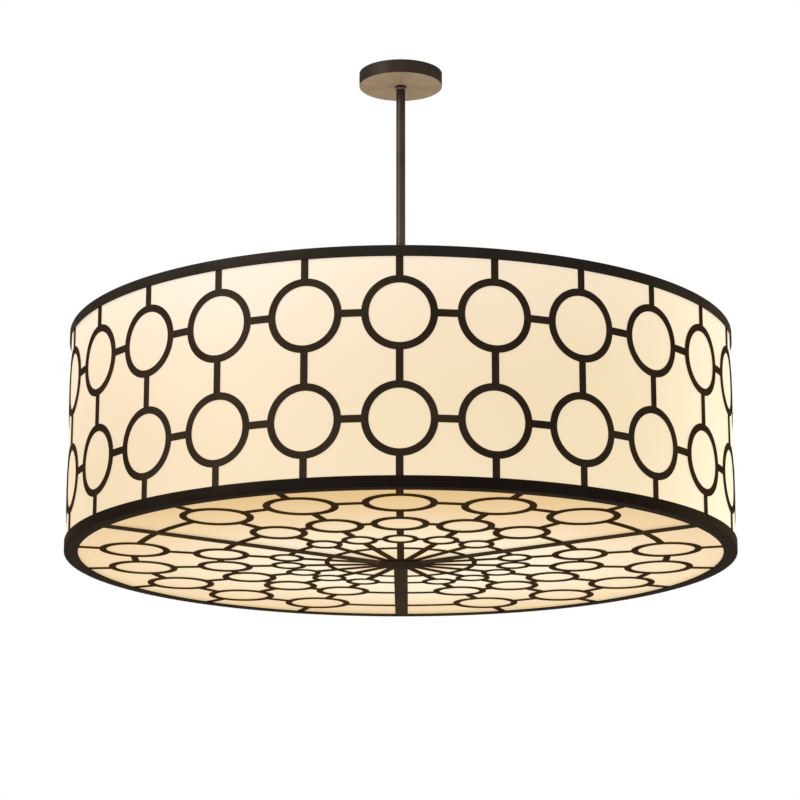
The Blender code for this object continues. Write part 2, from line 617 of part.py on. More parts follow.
def lamp_parts(materials, swing):
    """A six-sided box on the stem's end, with a lamp facing out from each side.

    The wires come down the stem into the box and go out through the hollow arms.
    """
    outer = CLUSTER_APOTHEM * HEX_SHARE
    inner = (CLUSTER_APOTHEM - CLUSTER_WALL) * HEX_SHARE
    rod_hole = (ROD_RADIUS + GAP) * HEX_SHARE
    floor = CLUSTER_BOTTOM + CLUSTER_FLOOR
    profile = [(outer, CLUSTER_BOTTOM), (outer, CLUSTER_TOP), (inner, CLUSTER_TOP),
               (inner, floor), (rod_hole, floor), (rod_hole, CLUSTER_BOTTOM)]
    cluster = add_piece("lamp_cluster", turned_mesh("lamp_cluster", profile, HEX_STEPS),
                        materials["bronze"], swing)
    wire_hole_start = CLUSTER_APOTHEM - 2 * CLUSTER_WALL
    wire_hole_end = CLUSTER_APOTHEM + CLUSTER_WALL
    wire_hole = turned_mesh("wire_hole", [
        (0, wire_hole_start), (LAMP_ARM_BORE, wire_hole_start),
        (LAMP_ARM_BORE, wire_hole_end), (0, wire_hole_end)], SMALL_STEPS, open_profile=True)
    stem_hole = (STEM_RADIUS + GAP) * HEX_SHARE
    cover = turned_mesh("cluster_cover", tube_profile(
        stem_hole, outer, CLUSTER_TOP + GAP, CLUSTER_TOP + GAP + COVER_THICKNESS), HEX_STEPS)
    add_piece("cluster_cover", cover, materials["bronze"], swing)

    arm = turned_mesh("lamp_arm", tube_profile(
        LAMP_ARM_BORE, LAMP_ARM_RADIUS, CLUSTER_APOTHEM + GAP, LAMP_ARM_END), LAMP_STEPS)
    back = LAMP_ARM_END + GAP
    mouth = back + SOCKET_CUP_LENGTH
    cup_floor = back + SOCKET_CUP_BACK
    cup = BULB_BASE_RADIUS + GAP
    socket = turned_mesh("lamp_socket", [
        (SOCKET_WIRE_HOLE, back), (SOCKET_CUP_RADIUS, back), (SOCKET_CUP_RADIUS, mouth),
        (cup, mouth), (cup, cup_floor), (SOCKET_WIRE_HOLE, cup_floor)], LAMP_STEPS)
    base = cup_floor + GAP
    swell = BULB_RADIUS - BULB_BASE_RADIUS
    glass = [(BULB_BASE_RADIUS + swell * out_share, base + BULB_LENGTH * along_share)
             for along_share, out_share in BULB_SHOULDER_SHARES]
    profile = [(0, base), (BULB_BASE_RADIUS, base)] + glass + [(0, base + BULB_LENGTH)]
    bulb = turned_mesh("bulb", profile, LAMP_STEPS, open_profile=True)
    for number in range(LAMPS):
        turn = (0, math.pi / 2, FRONT_ANGLE + 2 * math.pi * number / LAMPS)
        at = (0, 0, LAMP_HEIGHT)
        label = "_%d" % (number + 1)
        cut_away(cluster, wire_hole, turn, at)
        add_piece("lamp_arm" + label, arm, materials["bronze"], swing, turn, at)
        add_piece("lamp_socket" + label, socket, materials["porcelain"], swing, turn, at)
        add_piece("bulb" + label, bulb, materials["bulb_glass"], swing, turn, at)


def bottom_frame_parts(materials, swing):
    """The rod under the lamps, the hub on its end and the three T bars out to the rim."""
    floor_top = CLUSTER_BOTTOM + CLUSTER_FLOOR
    disc_top = panel_underside(BOTTOM_HUB_RADIUS) - GAP
    disc_bottom = disc_top - BOTTOM_HUB_EDGE
    disc_centre_top = panel_underside(BOSS_RADIUS) - GAP
    boss_top = disc_centre_top + BOSS_HEIGHT
    bore = ROD_RADIUS + GAP
    bore_floor = disc_centre_top + BOSS_FLOOR
    profile = [(0, disc_bottom), (BOTTOM_HUB_RADIUS, disc_bottom), (BOTTOM_HUB_RADIUS, disc_top),
               (BOSS_RADIUS, disc_centre_top), (BOSS_RADIUS, boss_top), (bore, boss_top),
               (bore, bore_floor), (0, bore_floor)]
    hub = turned_mesh("bottom_hub", profile, ROUND_STEPS, open_profile=True)
    add_piece("bottom_hub", hub, materials["bronze"], swing)

    rod_top = floor_top + ROD_ABOVE_FLOOR
    rod = turned_mesh("centre_rod", [(0, bore_floor + GAP), (ROD_RADIUS, bore_floor + GAP),
                                     (ROD_RADIUS, rod_top), (0, rod_top)],
                      SMALL_STEPS, open_profile=True)
    add_piece("centre_rod", rod, materials["zinc"], swing)
    nut = hex_bored("rod_nut", ROD_NUT_FLATS, bore,
                    floor_top + GAP, floor_top + GAP + ROD_NUT_HEIGHT)
    add_piece("rod_nut", nut, materials["zinc"], swing)

    def tee_section(radius):
        top = panel_underside(radius) - GAP
        bottom = top - RIM_WALL
        half, rib = SEAM_BAR_WIDTH / 2, SEAM_RIB_WIDTH / 2
        return [(radius, -half, bottom), (radius, half, bottom), (radius, half, top),
                (radius, rib, top), (radius, rib, top + SEAM_RIB_HEIGHT),
                (radius, -rib, top + SEAM_RIB_HEIGHT), (radius, -rib, top), (radius, -half, top)]

    corner_inset = math.cos(math.pi / DRUM_STEPS)
    outer_end = FLANGE_RADIUS * corner_inset - GAP
    bar = swept_mesh("seam_bar", [tee_section(BOTTOM_HUB_RADIUS + GAP), tee_section(outer_end)])
    for number in range(THIRDS):
        add_piece("seam_bar_%d" % (number + 1), bar, materials["bronze"], swing,
                  (0, 0, FRONT_ANGLE + THIRD_ANGLE * (number + 0.5)))


def polar(radius, angle):
    return (radius * math.cos(angle), radius * math.sin(angle))


def seam_angle(radius):
    """Angle from a panel's middle to its edge, which runs beside the seam bar's rib."""
    return THIRD_ANGLE / 2 - math.asin(SEAM_EDGE / radius)


def arc_run(radius, start, stop):
    """Points strictly between two angles on a circle about the centre."""
    steps = max(1, math.ceil(abs(stop - start) / ARC_STEP))
    return [polar(radius, start + (stop - start) * step / steps) for step in range(1, steps)]


def spoke_points(spoke_angle, pairs, side):
    """Turn (along, across) pairs of a spoke into the panel's frame, on the given side."""
    cosine, sine = math.cos(spoke_angle), math.sin(spoke_angle)
    return [(along * cosine - side * across * sine, along * sine + side * across * cosine)
            for along, across in pairs]


def ring_corner(row, outward):
    """A quarter of a ring between its spoke and its arc bar, in (along, across) pairs."""
    centre, inner, band = row
    ring, half, arc_half = inner + band, BAR_WIDTH / 2, band / 2
    at_spoke = math.asin(half / ring)
    reach = centre + arc_half if outward else centre - arc_half
    at_arc = math.acos((reach ** 2 - centre ** 2 - ring ** 2) / (2 * centre * ring))
    start, stop = (at_arc, at_spoke) if outward else (math.pi - at_spoke, at_arc)
    return arc_points(centre, 0, ring, start, stop, QUADRANT_STEPS)


def circle_corner(radius):
    """Where a spoke's edge meets a plain circle."""
    half = BAR_WIDTH / 2
    return [(math.sqrt(radius ** 2 - half ** 2), half)]


def row_edges(row):
    """Inner and outer radius of the arc bar that links a row's rings."""
    centre, _, band = row
    return centre - band / 2, centre + band / 2


def angle_of(point):
    return math.atan2(point[1], point[0])


def bottom_fretwork_loops():
    """Outline and holes of one wedge: spokes, linked rings, a plain circle and the tip."""
    spacing = THIRD_ANGLE / (SPOKES_PER_PANEL + 1)
    spokes = [spacing * (k + 1) - THIRD_ANGLE / 2 for k in range(SPOKES_PER_PANEL)]
    circle_low, circle_high = CIRCLE_RADIUS - CIRCLE_WIDTH / 2, CIRCLE_RADIUS + CIRCLE_WIDTH / 2
    inner_low, inner_high = row_edges(INNER_ROW)
    middle_low, middle_high = row_edges(MIDDLE_ROW)
    outer_low, outer_high = row_edges(OUTER_ROW)
    # Each bay has its inner circle, the spoke's side, and both edges of the next arc bar
    bays = [(TIP_PLATE_RADIUS, circle_corner(TIP_PLATE_RADIUS) + circle_corner(circle_low),
             circle_low, circle_high),
            (circle_high, circle_corner(circle_high) + ring_corner(INNER_ROW, False),
             inner_low, inner_high),
            (inner_high, ring_corner(INNER_ROW, True) + ring_corner(MIDDLE_ROW, False),
             middle_low, middle_high),
            (middle_high, ring_corner(MIDDLE_ROW, True) + ring_corner(OUTER_ROW, False),
             outer_low, outer_high)]
    loops = []
    ring_rows = ((INNER_ROW, INNER_RING_STEPS), (MIDDLE_ROW, MIDDLE_RING_STEPS),
                 (OUTER_ROW, OUTER_RING_STEPS))
    for spoke in spokes:
        for (centre, inner, _), steps in ring_rows:
            loops.append(circle_loop(*polar(centre, spoke), inner, steps))
    for spoke, following in zip(spokes, spokes[1:]):
        for low, side_pairs, high, _ in bays:
            near = spoke_points(spoke, side_pairs, 1)
            far = spoke_points(following, side_pairs, -1)
            loops.append(near + arc_run(high, angle_of(near[-1]), angle_of(far[-1]))
                         + far[::-1] + arc_run(low, angle_of(far[0]), angle_of(near[0])))

    # The seam side of the last spoke, from the tip out to the outer row's arc bar
    edge = [polar(TIP_PLATE_RADIUS, seam_angle(TIP_PLATE_RADIUS))]
    for low, side_pairs, high, bar_outer in bays:
        side = spoke_points(spokes[-1], side_pairs, 1)
        edge += arc_run(low, seam_angle(low), angle_of(side[0])) + side
        edge += arc_run(high, angle_of(side[-1]), seam_angle(high))
        edge += [polar(high, seam_angle(high)), polar(bar_outer, seam_angle(bar_outer))]

    # The rim side: the outer row's bar, with the ends of the spokes on the rim's flange
    end_pairs = ring_corner(OUTER_ROW, True) + circle_corner(PANEL_RADIUS)
    rim_edge = []
    for spoke in reversed(spokes):
        left, right = spoke_points(spoke, end_pairs, 1), spoke_points(spoke, end_pairs, -1)
        rim_edge += left + right[::-1]
        if spoke != spokes[0]:
            following_left = spoke_points(spoke - spacing, end_pairs, 1)[0]
            rim_edge += arc_run(outer_high, angle_of(right[0]), angle_of(following_left))
    lead_in = arc_run(outer_high, seam_angle(outer_high), angle_of(rim_edge[0]))
    mirrored = [(x, -y) for x, y in edge + lead_in][::-1]
    tip_radius = BOSS_RADIUS + PANEL_TIP_CLEARANCE
    tip_angle = seam_angle(tip_radius)
    tip = arc_points(0, 0, tip_radius, -tip_angle, tip_angle, HEX_STEPS)
    return [edge + lead_in + rim_edge + mirrored + tip] + loops


def panel_parts(materials):
    """Three wedges that rest on the rim flange, the seam bars and the hub, and lift out."""
    def coned(x, y, depth):
        return (x, y, panel_underside(math.hypot(x, y)) + depth)

    sheet = plate_mesh("bottom_fretwork", bottom_fretwork_loops(), 0, PANEL_SHEET, coned)
    tip_radius = BOSS_RADIUS + PANEL_TIP_CLEARANCE
    steps = math.ceil(THIRD_ANGLE / ARC_STEP)
    low, high = PANEL_SHEET + GAP, PANEL_SHEET + GAP + LENS_WALL
    sections = []
    for step in range(steps + 1):
        side_share = 2 * step / steps - 1
        inner = polar(tip_radius, side_share * seam_angle(tip_radius))
        outer = polar(PANEL_RADIUS, side_share * seam_angle(PANEL_RADIUS))
        sections.append([coned(*inner, low), coned(*outer, low),
                         coned(*outer, high), coned(*inner, high)])
    lens = swept_mesh("bottom_lens", sections)
    for number in range(THIRDS):
        turn = (0, 0, FRONT_ANGLE + THIRD_ANGLE * number)
        middle = polar(PANEL_RADIUS / 2, turn[2])
        lift = add_pivot("panel_%d_lift" % (number + 1), (*middle, LOWER_FLANGE_TOP))
        add_piece("bottom_fretwork_%d" % (number + 1), sheet, materials["bronze"], lift, turn)
        add_piece("bottom_lens_%d" % (number + 1), lens, materials["acrylic"], lift, turn)


def main():
    clear_scene()
    materials = {
        "bronze": finish("dark_bronze", (0.028, 0.022, 0.018), 0.45, 0.6),
        "acrylic": finish("cream_acrylic", (0.93, 0.80, 0.57), 0.4, 0.0, glow=0.6),
        "zinc": finish("zinc_steel", (0.60, 0.60, 0.58), 0.4, 1.0),
        "brass": finish("plain_brass", (0.72, 0.53, 0.24), 0.35, 1.0),
        "nylon": finish("white_nylon", (0.85, 0.85, 0.82), 0.5, 0.0),
        "porcelain": finish("white_porcelain", (0.88, 0.87, 0.83), 0.25, 0.0),
        "bulb_glass": finish("frosted_glass", (0.95, 0.93, 0.88), 0.3, 0.0, transmission=0.4,
                             glow=1.0),
    }
    swing = add_pivot("swing_centre", (0, 0, BALL_HEIGHT))
    slide = add_pivot("canopy_slide", (0, 0, -CANOPY_HEIGHT))
    ceiling_parts(materials)
    swivel_parts(materials, swing)
    canopy_parts(materials, slide)
    spider_parts(materials, swing)
    rim_parts(materials, swing)
    shade_parts(materials, swing)
    side_fretwork_parts(materials, swing)
    lamp_parts(materials, swing)
    bottom_frame_parts(materials, swing)
    panel_parts(materials)


main()
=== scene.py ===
# The looks of the drum chandelier: every finish, and smooth meshes for the pieces that show.
# Lengths are metres and angles degrees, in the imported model's own frame: the ceiling is z = 0
# and the front is -Y.

import math

import bmesh
import bpy
from mathutils import Matrix, Vector


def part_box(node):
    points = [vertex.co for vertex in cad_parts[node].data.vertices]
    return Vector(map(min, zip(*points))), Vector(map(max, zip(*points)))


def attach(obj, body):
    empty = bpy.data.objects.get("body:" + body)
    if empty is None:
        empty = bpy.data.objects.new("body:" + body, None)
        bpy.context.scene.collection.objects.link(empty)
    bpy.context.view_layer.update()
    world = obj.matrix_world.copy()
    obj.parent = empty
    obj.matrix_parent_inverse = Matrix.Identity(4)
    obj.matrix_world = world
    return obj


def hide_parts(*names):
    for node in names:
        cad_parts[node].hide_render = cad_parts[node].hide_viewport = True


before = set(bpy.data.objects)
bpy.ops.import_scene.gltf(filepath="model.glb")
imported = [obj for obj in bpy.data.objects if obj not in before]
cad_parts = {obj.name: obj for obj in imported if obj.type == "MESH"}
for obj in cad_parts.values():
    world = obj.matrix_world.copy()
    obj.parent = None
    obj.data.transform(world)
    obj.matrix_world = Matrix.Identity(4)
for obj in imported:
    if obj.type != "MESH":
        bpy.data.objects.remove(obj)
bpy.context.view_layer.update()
wholeTurn = math.radians(360)
quarterTurn = math.radians(90)
frontTurn = -quarterTurn


# Names of a numbered run of nodes, and the box round several nodes

def numbered(stem, count):
    return ["%s_%d" % (stem, number + 1) for number in range(count)]


def boxOf(*nodes):
    boxes = [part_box(node) for node in nodes]
    low = Vector([min(box[0][axis] for box in boxes) for axis in range(3)])
    high = Vector([max(box[1][axis] for box in boxes) for axis in range(3)])
    return low, high


# A colour as it shows on a screen, 0 to 255, turned into the linear one that a shader needs

def shown(red, green, blue):
    shares = [value / 255 for value in (red, green, blue)]
    linear = [share / 12.92 if share < 0.04045 else ((share + 0.055) / 1.055) ** 2.4
              for share in shares]
    return (*linear, 1.0)


# Node trees. A Wire is a node's output, and each operator on it adds one Math node.

class Wire:
    def __init__(self, tree, socket):
        self.tree = tree
        self.socket = socket

    def maths(self, operation, *values, clamped=False):
        settings = {"operation": operation, "use_clamp": clamped}
        return self.tree.node("ShaderNodeMath", settings, dict(enumerate(values)))

    def __add__(self, other):
        return self.maths("ADD", self, other)

    def __radd__(self, other):
        return self.maths("ADD", other, self)

    def __sub__(self, other):
        return self.maths("SUBTRACT", self, other)

    def __rsub__(self, other):
        return self.maths("SUBTRACT", other, self)

    def __mul__(self, other):
        return self.maths("MULTIPLY", self, other)

    def __rmul__(self, other):
        return self.maths("MULTIPLY", other, self)

    def __truediv__(self, other):
        return self.maths("DIVIDE", self, other)

    def __rtruediv__(self, other):
        return self.maths("DIVIDE", other, self)

    def function(self, operation, other=0.0):
        return self.maths(operation, self, other)

    def clamped(self):
        return self.maths("ADD", self, 0.0, clamped=True)

    def eased(self, low, high):
        settings = {"interpolation_type": "SMOOTHSTEP"}
        return self.tree.node("ShaderNodeMapRange", settings, {0: self, 1: low, 2: high})


class Tree:
    def __init__(self, tree):
        self.tree = tree

    def node(self, kind, settings=None, inputs=None, output=0):
        made = self.tree.nodes.new(kind)
        for key, value in (settings or {}).items():
            setattr(made, key, value)
        for key, value in (inputs or {}).items():
            socket = made.inputs[key]
            for wire in value if isinstance(value, list) else [value]:
                if isinstance(wire, Wire):
                    self.tree.links.new(wire.socket, socket)
                else:
                    socket.default_value = wire
        return Wire(self, made.outputs[output]) if made.outputs else None

    def mixed(self, factor, first, second):
        settings = {"data_type": "RGBA", "clamp_factor": True}
        return self.node("ShaderNodeMix", settings, {0: factor, 6: first, 7: second}, 2)

    def noise(self, point, scale, detail=2.0, roughness=0.5):
        inputs = {"Vector": point, "Scale": scale, "Detail": detail, "Roughness": roughness}
        return self.node("ShaderNodeTexNoise", {"noise_dimensions": "3D"}, inputs)

    def vector(self, x=0.0, y=0.0, z=0.0):
        return self.node("ShaderNodeCombineXYZ", None, {0: x, 1: y, 2: z})

    def split(self, point):
        return [self.node("ShaderNodeSeparateXYZ", None, {0: point}, axis) for axis in range(3)]

    def multiplied(self, first, second):
        return self.node("ShaderNodeVectorMath", {"operation": "MULTIPLY"}, {0: first, 1: second})


# A material starts as a tree with its Object coordinates, and finishSurface closes it

def startMaterial(name):
    material = bpy.data.materials.new(name)
    material.use_nodes = True
    material.node_tree.nodes.clear()
    tree = Tree(material.node_tree)
    point = tree.node("ShaderNodeTexCoord", output="Object")
    return material, tree, point, tree.split(point)


def finishSurface(tree, inputs, height, depth):
    inputs["Normal"] = tree.node("ShaderNodeBump", None, {
        "Height": height, "Distance": depth, "Strength": 1.0})
    surface = tree.node("ShaderNodeBsdfPrincipled", None, inputs)
    tree.node("ShaderNodeOutputMaterial", None, {"Surface": surface})


def finishMetal(tree, looks, colour, grain):
    # The grain gives both roughness and bump. An edge tint keeps grazing views dark
    rough = looks["smooth"] + (looks["rough"] - looks["smooth"]) * grain
    inputs = {"Base Color": colour, "Roughness": rough, "Metallic": looks["metallic"]}
    if "edgeTint" in looks:
        inputs.update({"Specular IOR Level": 0.0, "Specular Tint": looks["edgeTint"]})
    finishSurface(tree, inputs, grain, looks["depth"])


def finishGlow(tree, looks, colour, height):
    # Lit from inside: most of the colour is glow, the rest is the sheet or glass itself
    base = tree.node("ShaderNodeVectorMath", {"operation": "SCALE"}, {
        0: colour, "Scale": looks["base"]})
    finishSurface(tree, {
        "Base Color": base, "Roughness": looks["roughness"], "Emission Color": colour,
        "Emission Strength": looks["glow"], "Specular IOR Level": looks["specular"]},
        height, looks["depth"])


def toned(tree, looks, large, small):
    # Two noises pick a place between dark and light. Noise seldom goes under noiseFloor
    noiseFloor = 0.3
    tone = large * looks["largeShare"] + small * (1 - looks["largeShare"]) - noiseFloor
    return tree.mixed(tone * looks["contrast"], looks["dark"], looks["light"])


bronzeLooks = {
    "dark": shown(40, 32, 23), "light": shown(58, 48, 37), "cloudScale": 9.0,
    "speckScale": 1400.0, "largeShare": 0.7, "contrast": 2.2, "smooth": 0.5, "rough": 0.68,
    "metallic": 0.55, "depth": 0.00003, "edgeTint": (0.42, 0.39, 0.355, 1.0)}
upperRimLooks = {**bronzeLooks, "dark": shown(39, 33, 28), "light": shown(51, 45, 40),
                 "edgeTint": (0.62, 0.57, 0.51, 1.0)}
# The lower rim is the same bronze as the upper one, painted darker: painted shade
shadedLowerRimLooks = {**bronzeLooks, "dark": shown(25, 20, 15), "light": shown(36, 30, 24),
                 "edgeTint": (0.64, 0.59, 0.53, 1.0)}
# The bottom fretwork's bronze is painted lighter and warmer, as painted light from the glowing
# lenses it lies on
litBottomLooks = {**bronzeLooks, "dark": shown(49, 36, 21), "light": shown(73, 54, 33)}
# The seam bars' bronze is painted lighter and warmer than the frame's: painted light
litSeamLooks = {**bronzeLooks, "dark": shown(53, 43, 32), "light": shown(76, 62, 48)}


def bronzeFinish(name, looks):
    material, tree, point, _ = startMaterial(name)
    clouds = tree.noise(point, looks["cloudScale"], detail=4.0)
    specks = tree.noise(point, looks["speckScale"], roughness=0.6)
    finishMetal(tree, looks, toned(tree, looks, clouds, specks), specks)
    return material


stemLooks = {
    "dark": shown(52, 45, 38), "light": shown(78, 68, 59), "drawScale": (1800.0, 1800.0, 14.0),
    "cloudScale": 14.0, "largeShare": 0.6, "contrast": 2.4, "smooth": 0.36, "rough": 0.52,
    "metallic": 0.8, "depth": 0.00002, "edgeTint": (0.40, 0.36, 0.32, 1.0)}


def drawnTubeFinish(name, looks):
    # Fine lines along the tube, as drawing leaves them, under the bronze
    material, tree, point, _ = startMaterial(name)
    lines = tree.noise(tree.multiplied(point, looks["drawScale"]), 1.0, detail=3.0)
    clouds = tree.noise(point, looks["cloudScale"], detail=3.0)
    finishMetal(tree, looks, toned(tree, looks, lines, clouds), lines)
    return material


# The collar's lighter band under its groove is a painted highlight
collarLooks = {
    "dark": shown(38, 32, 27), "light": shown(52, 45, 38), "rubbed": shown(112, 100, 88),
    "rubbedLeast": 0.7, "rubbedGrain": 0.5, "grainScale": 260.0, "fade": 0.0012,
    "roughness": 0.42, "metallic": 0.7, "depth": 0.00001}


def collarFinish(name, looks, grooveHeight):
    # Plain bronze above its groove, and a painted highlight below it that is patchy with the grain
    material, tree, point, (_, _, z) = startMaterial(name)
    grain = tree.noise(point, looks["grainScale"], detail=3.0)
    below = 1 - z.eased(grooveHeight - looks["fade"], grooveHeight)
    colour = tree.mixed(below * (looks["rubbedLeast"] + looks["rubbedGrain"] * grain),
                        tree.mixed(grain, looks["dark"], looks["light"]), looks["rubbed"])
    finishSurface(tree, {"Base Color": colour, "Roughness": looks["roughness"],
                         "Metallic": looks["metallic"]}, grain, looks["depth"])
    return material


# The face colours are painted light: far lighter than the side, as the glowing drum below would
# light it
canopyLooks = {
    "side": shown(46, 40, 36), "sideLight": shown(58, 51, 46), "patchScale": 60.0,
    "dark": shown(102, 92, 80), "light": shown(123, 112, 99), "largeShare": 0.55,
    "contrast": 2.3, "fansRound": 2.2, "fansOut": 6.0, "rings": 500.0, "ringsRound": 0.8,
    "metallic": 0.4, "smooth": 0.38, "rough": 0.55, "depth": 0.00002, "edgeBand": 0.0012,
    "edgeTint": (0.45, 0.42, 0.39, 1.0)}


def canopyFinish(name, looks, faceHeight):
    # The face is brushed round and round, with soft fans of painted reflection, and painted much
    # lighter than the side as painted light from the lit drum below
    material, tree, point, (x, y, z) = startMaterial(name)
    radius = (x * x + y * y).function("SQRT")
    turn = y.function("ARCTAN2", x)
    fans = tree.noise(tree.vector(turn * looks["fansRound"], radius * looks["fansOut"]), 1.0)
    circles = tree.noise(tree.vector(radius * looks["rings"], turn * looks["ringsRound"]), 1.0,
                         detail=3.0)
    onLitFace = 1 - z.eased(faceHeight, faceHeight + looks["edgeBand"])
    patches = tree.noise(point, looks["patchScale"], detail=3.0)
    colour = tree.mixed(onLitFace, tree.mixed(patches, looks["side"], looks["sideLight"]),
                        toned(tree, looks, fans, circles))
    finishMetal(tree, looks, colour, circles)
    return material


lensAcrylic = {
    "base": 0.20, "glow": 0.84, "roughness": 0.5, "specular": 0.15, "cloudScale": 3.2,
    "mottle": 0.06, "waveScale": 22.0, "depth": 0.0004,
    "ramp": ((0.43, shown(227, 190, 127)), (0.67, shown(242, 213, 167)),
             (0.83, shown(251, 235, 200)), (0.93, shown(253, 247, 219)))}
shadeAcrylic = {
    **lensAcrylic,
    "ramp": ((0.66, shown(236, 213, 175)), (0.74, shown(245, 223, 188)),
             (0.82, shown(251, 233, 204)), (0.93, shown(255, 247, 220)))}


def acrylicFinish(name, looks, levelOf, blueOf=None):
    # Cream sheet: tan where little light is behind it, near white where there is much
    material, tree, point, parts = startMaterial(name)
    clouds = tree.noise(point, looks["cloudScale"], detail=3.0)
    level = levelOf(*parts) + (clouds - 0.5) * looks["mottle"]
    colour = looks["ramp"][0][1]
    for (low, _), (high, brighter) in zip(looks["ramp"], looks["ramp"][1:]):
        colour = tree.mixed((level - low) / (high - low), colour, brighter)
    if blueOf is not None:
        colour = tree.multiplied(colour, tree.vector(1.0, 1.0, blueOf(*parts)))
    finishGlow(tree, looks, colour, tree.noise(point, looks["waveScale"], detail=1.0))
    return material


bulbLooks = {
    "dark": shown(248, 230, 192), "light": shown(255, 244, 218), "base": 0.25, "glow": 0.82,
    "roughness": 0.42, "specular": 0.5, "largeShare": 1.0, "contrast": 2.4,
    "patchScale": 38.0, "frostScale": 1600.0, "depth": 0.00002}


def bulbFinish(name, looks):
    # Frosted glass round a lit filament: brighter in patches, soft all over
    material, tree, point, _ = startMaterial(name)
    frost = tree.noise(point, looks["frostScale"])
    patches = tree.noise(point, looks["patchScale"])
    finishGlow(tree, looks, toned(tree, looks, patches, frost), frost)
    return material


plainShares = {"largeShare": 0.75, "contrast": 2.4, "fineness": 14}
zincLooks = {
    **plainShares, "dark": shown(150, 150, 146), "light": shown(196, 197, 194), "scale": 90.0,
    "metallic": 1.0, "smooth": 0.28, "rough": 0.45, "depth": 0.00002}
brassLooks = {
    **plainShares, "dark": shown(168, 130, 66), "light": shown(206, 170, 98), "scale": 120.0,
    "metallic": 1.0, "smooth": 0.22, "rough": 0.4, "depth": 0.00002}
nylonLooks = {
    **plainShares, "dark": shown(214, 213, 205), "light": shown(236, 235, 229), "scale": 200.0,
    "metallic": 0.0, "smooth": 0.45, "rough": 0.6, "depth": 0.00001}
porcelainLooks = {
    **plainShares, "dark": shown(226, 222, 212), "light": shown(240, 237, 230), "scale": 40.0,
    "metallic": 0.0, "smooth": 0.12, "rough": 0.22, "depth": 0.00004}


def plainFinish(name, looks):
    material, tree, point, _ = startMaterial(name)
    patches = tree.noise(point, looks["scale"], detail=5.0, roughness=0.65)
    fine = tree.noise(point, looks["scale"] * looks["fineness"])
    finishMetal(tree, looks, toned(tree, looks, patches, fine), fine)
    return material


bronze = bronzeFinish("darkBronze", bronzeLooks)
litBottomBronze = bronzeFinish("litBottomBronze", litBottomLooks)
litSeamBronze = bronzeFinish("litSeamBronze", litSeamLooks)
stemBronze = drawnTubeFinish("drawnBronze", stemLooks)
zinc = plainFinish("zincSteel", zincLooks)
brass = plainFinish("turnedBrass", brassLooks)
nylon = plainFinish("whiteNylon", nylonLooks)
porcelain = plainFinish("whitePorcelain", porcelainLooks)
frosted = bulbFinish("frostedGlass", bulbLooks)
print("plain finishes made")


# Meshes. A profile is a list of (radius, height, fillet) corners, and a turned piece closes
# on itself, with poles where the radius is 0.

crisp, fine, soft = 0.0002, 0.0003, 0.0004  # fillets that many edges share
mergeGap = 0.000001
sharpAngle = math.radians(35)


def filleted(corners, steps=3):
    points = []
    for index, corner in enumerate(corners):
        place = Vector(corner[:2])
        before = Vector(corners[index - 1][:2]) - place
        after = Vector(corners[(index + 1) % len(corners)][:2]) - place
        fillet = corner[2] if len(corner) > 2 else 0.0
        if not fillet:
            points.append(tuple(place))
            continue
        longest = min(before.length, after.length) * 0.49
        cut = min(fillet / math.tan(before.angle(after) / 2), longest)
        start, stop = place + before.normalized() * cut, place + after.normalized() * cut
        for step in range(steps + 1):
            share = step / steps
            points.append(tuple(start.lerp(place, share).lerp(place.lerp(stop, share), share)))
    return points


def smoothed(mesh):
    mesh.shade_smooth()
    mesh.set_sharp_from_angle(angle=sharpAngle)
    return mesh


def merge(builder):
    bmesh.ops.remove_doubles(builder, verts=builder.verts, dist=mergeGap)


def meshFrom(builder):
    merge(builder)
    bmesh.ops.recalc_face_normals(builder, faces=builder.faces)
    mesh = bpy.data.meshes.new("piece")
    builder.to_mesh(mesh)
    builder.free()
    return smoothed(mesh)


def joinRows(builder, first, second, skipped=()):
    for side in range(len(first)):
        other = (side + 1) % len(first)
        if side not in skipped:
            builder.faces.new((first[side], first[other], second[other], second[side]))


def turnedMesh(corners, steps, halfTurn=None):
    # halfTurn gives half the angle that a piece spans at a radius, for one that isn't whole
    points = filleted(corners)
    onAxis = {side for side in range(len(points))
              if points[side][0] <= 0 and points[(side + 1) % len(points)][0] <= 0}
    builder = bmesh.new()
    count = steps if halfTurn is None else steps + 1
    rows = []
    for step in range(count):
        row = []
        for radius, height in points:
            turn = wholeTurn * step / steps
            if halfTurn is not None:
                turn = halfTurn(radius) * (2 * step / steps - 1)
            place = (radius * math.cos(turn), radius * math.sin(turn), height)
            row.append(builder.verts.new(place))
        rows.append(row)
    for index in range(steps):
        joinRows(builder, rows[index], rows[(index + 1) % count], onAxis)
    if halfTurn is not None:
        builder.faces.new(rows[0])
        builder.faces.new(rows[-1])
    merge(builder)
    bmesh.ops.dissolve_degenerate(builder, edges=builder.edges, dist=mergeGap / 10)
    return meshFrom(builder)


def tubeCorners(bore, radius, low, high, fillets=(0, 0, 0, 0)):
    # The fillets are at the low end's bore and outside, then the high end's outside and bore
    places = ((bore, low), (radius, low), (radius, high), (bore, high))
    return [(*place, fillet) for place, fillet in zip(places, fillets)]


def turnedCopy(mesh, angle):
    copy = mesh.copy()
    copy.transform(Matrix.Rotation(angle, 4, "Z"))
    return copy


def copiesAt(mesh, count, firstTurn):
    return [turnedCopy(mesh, firstTurn + wholeTurn / count * step) for step in range(count)]


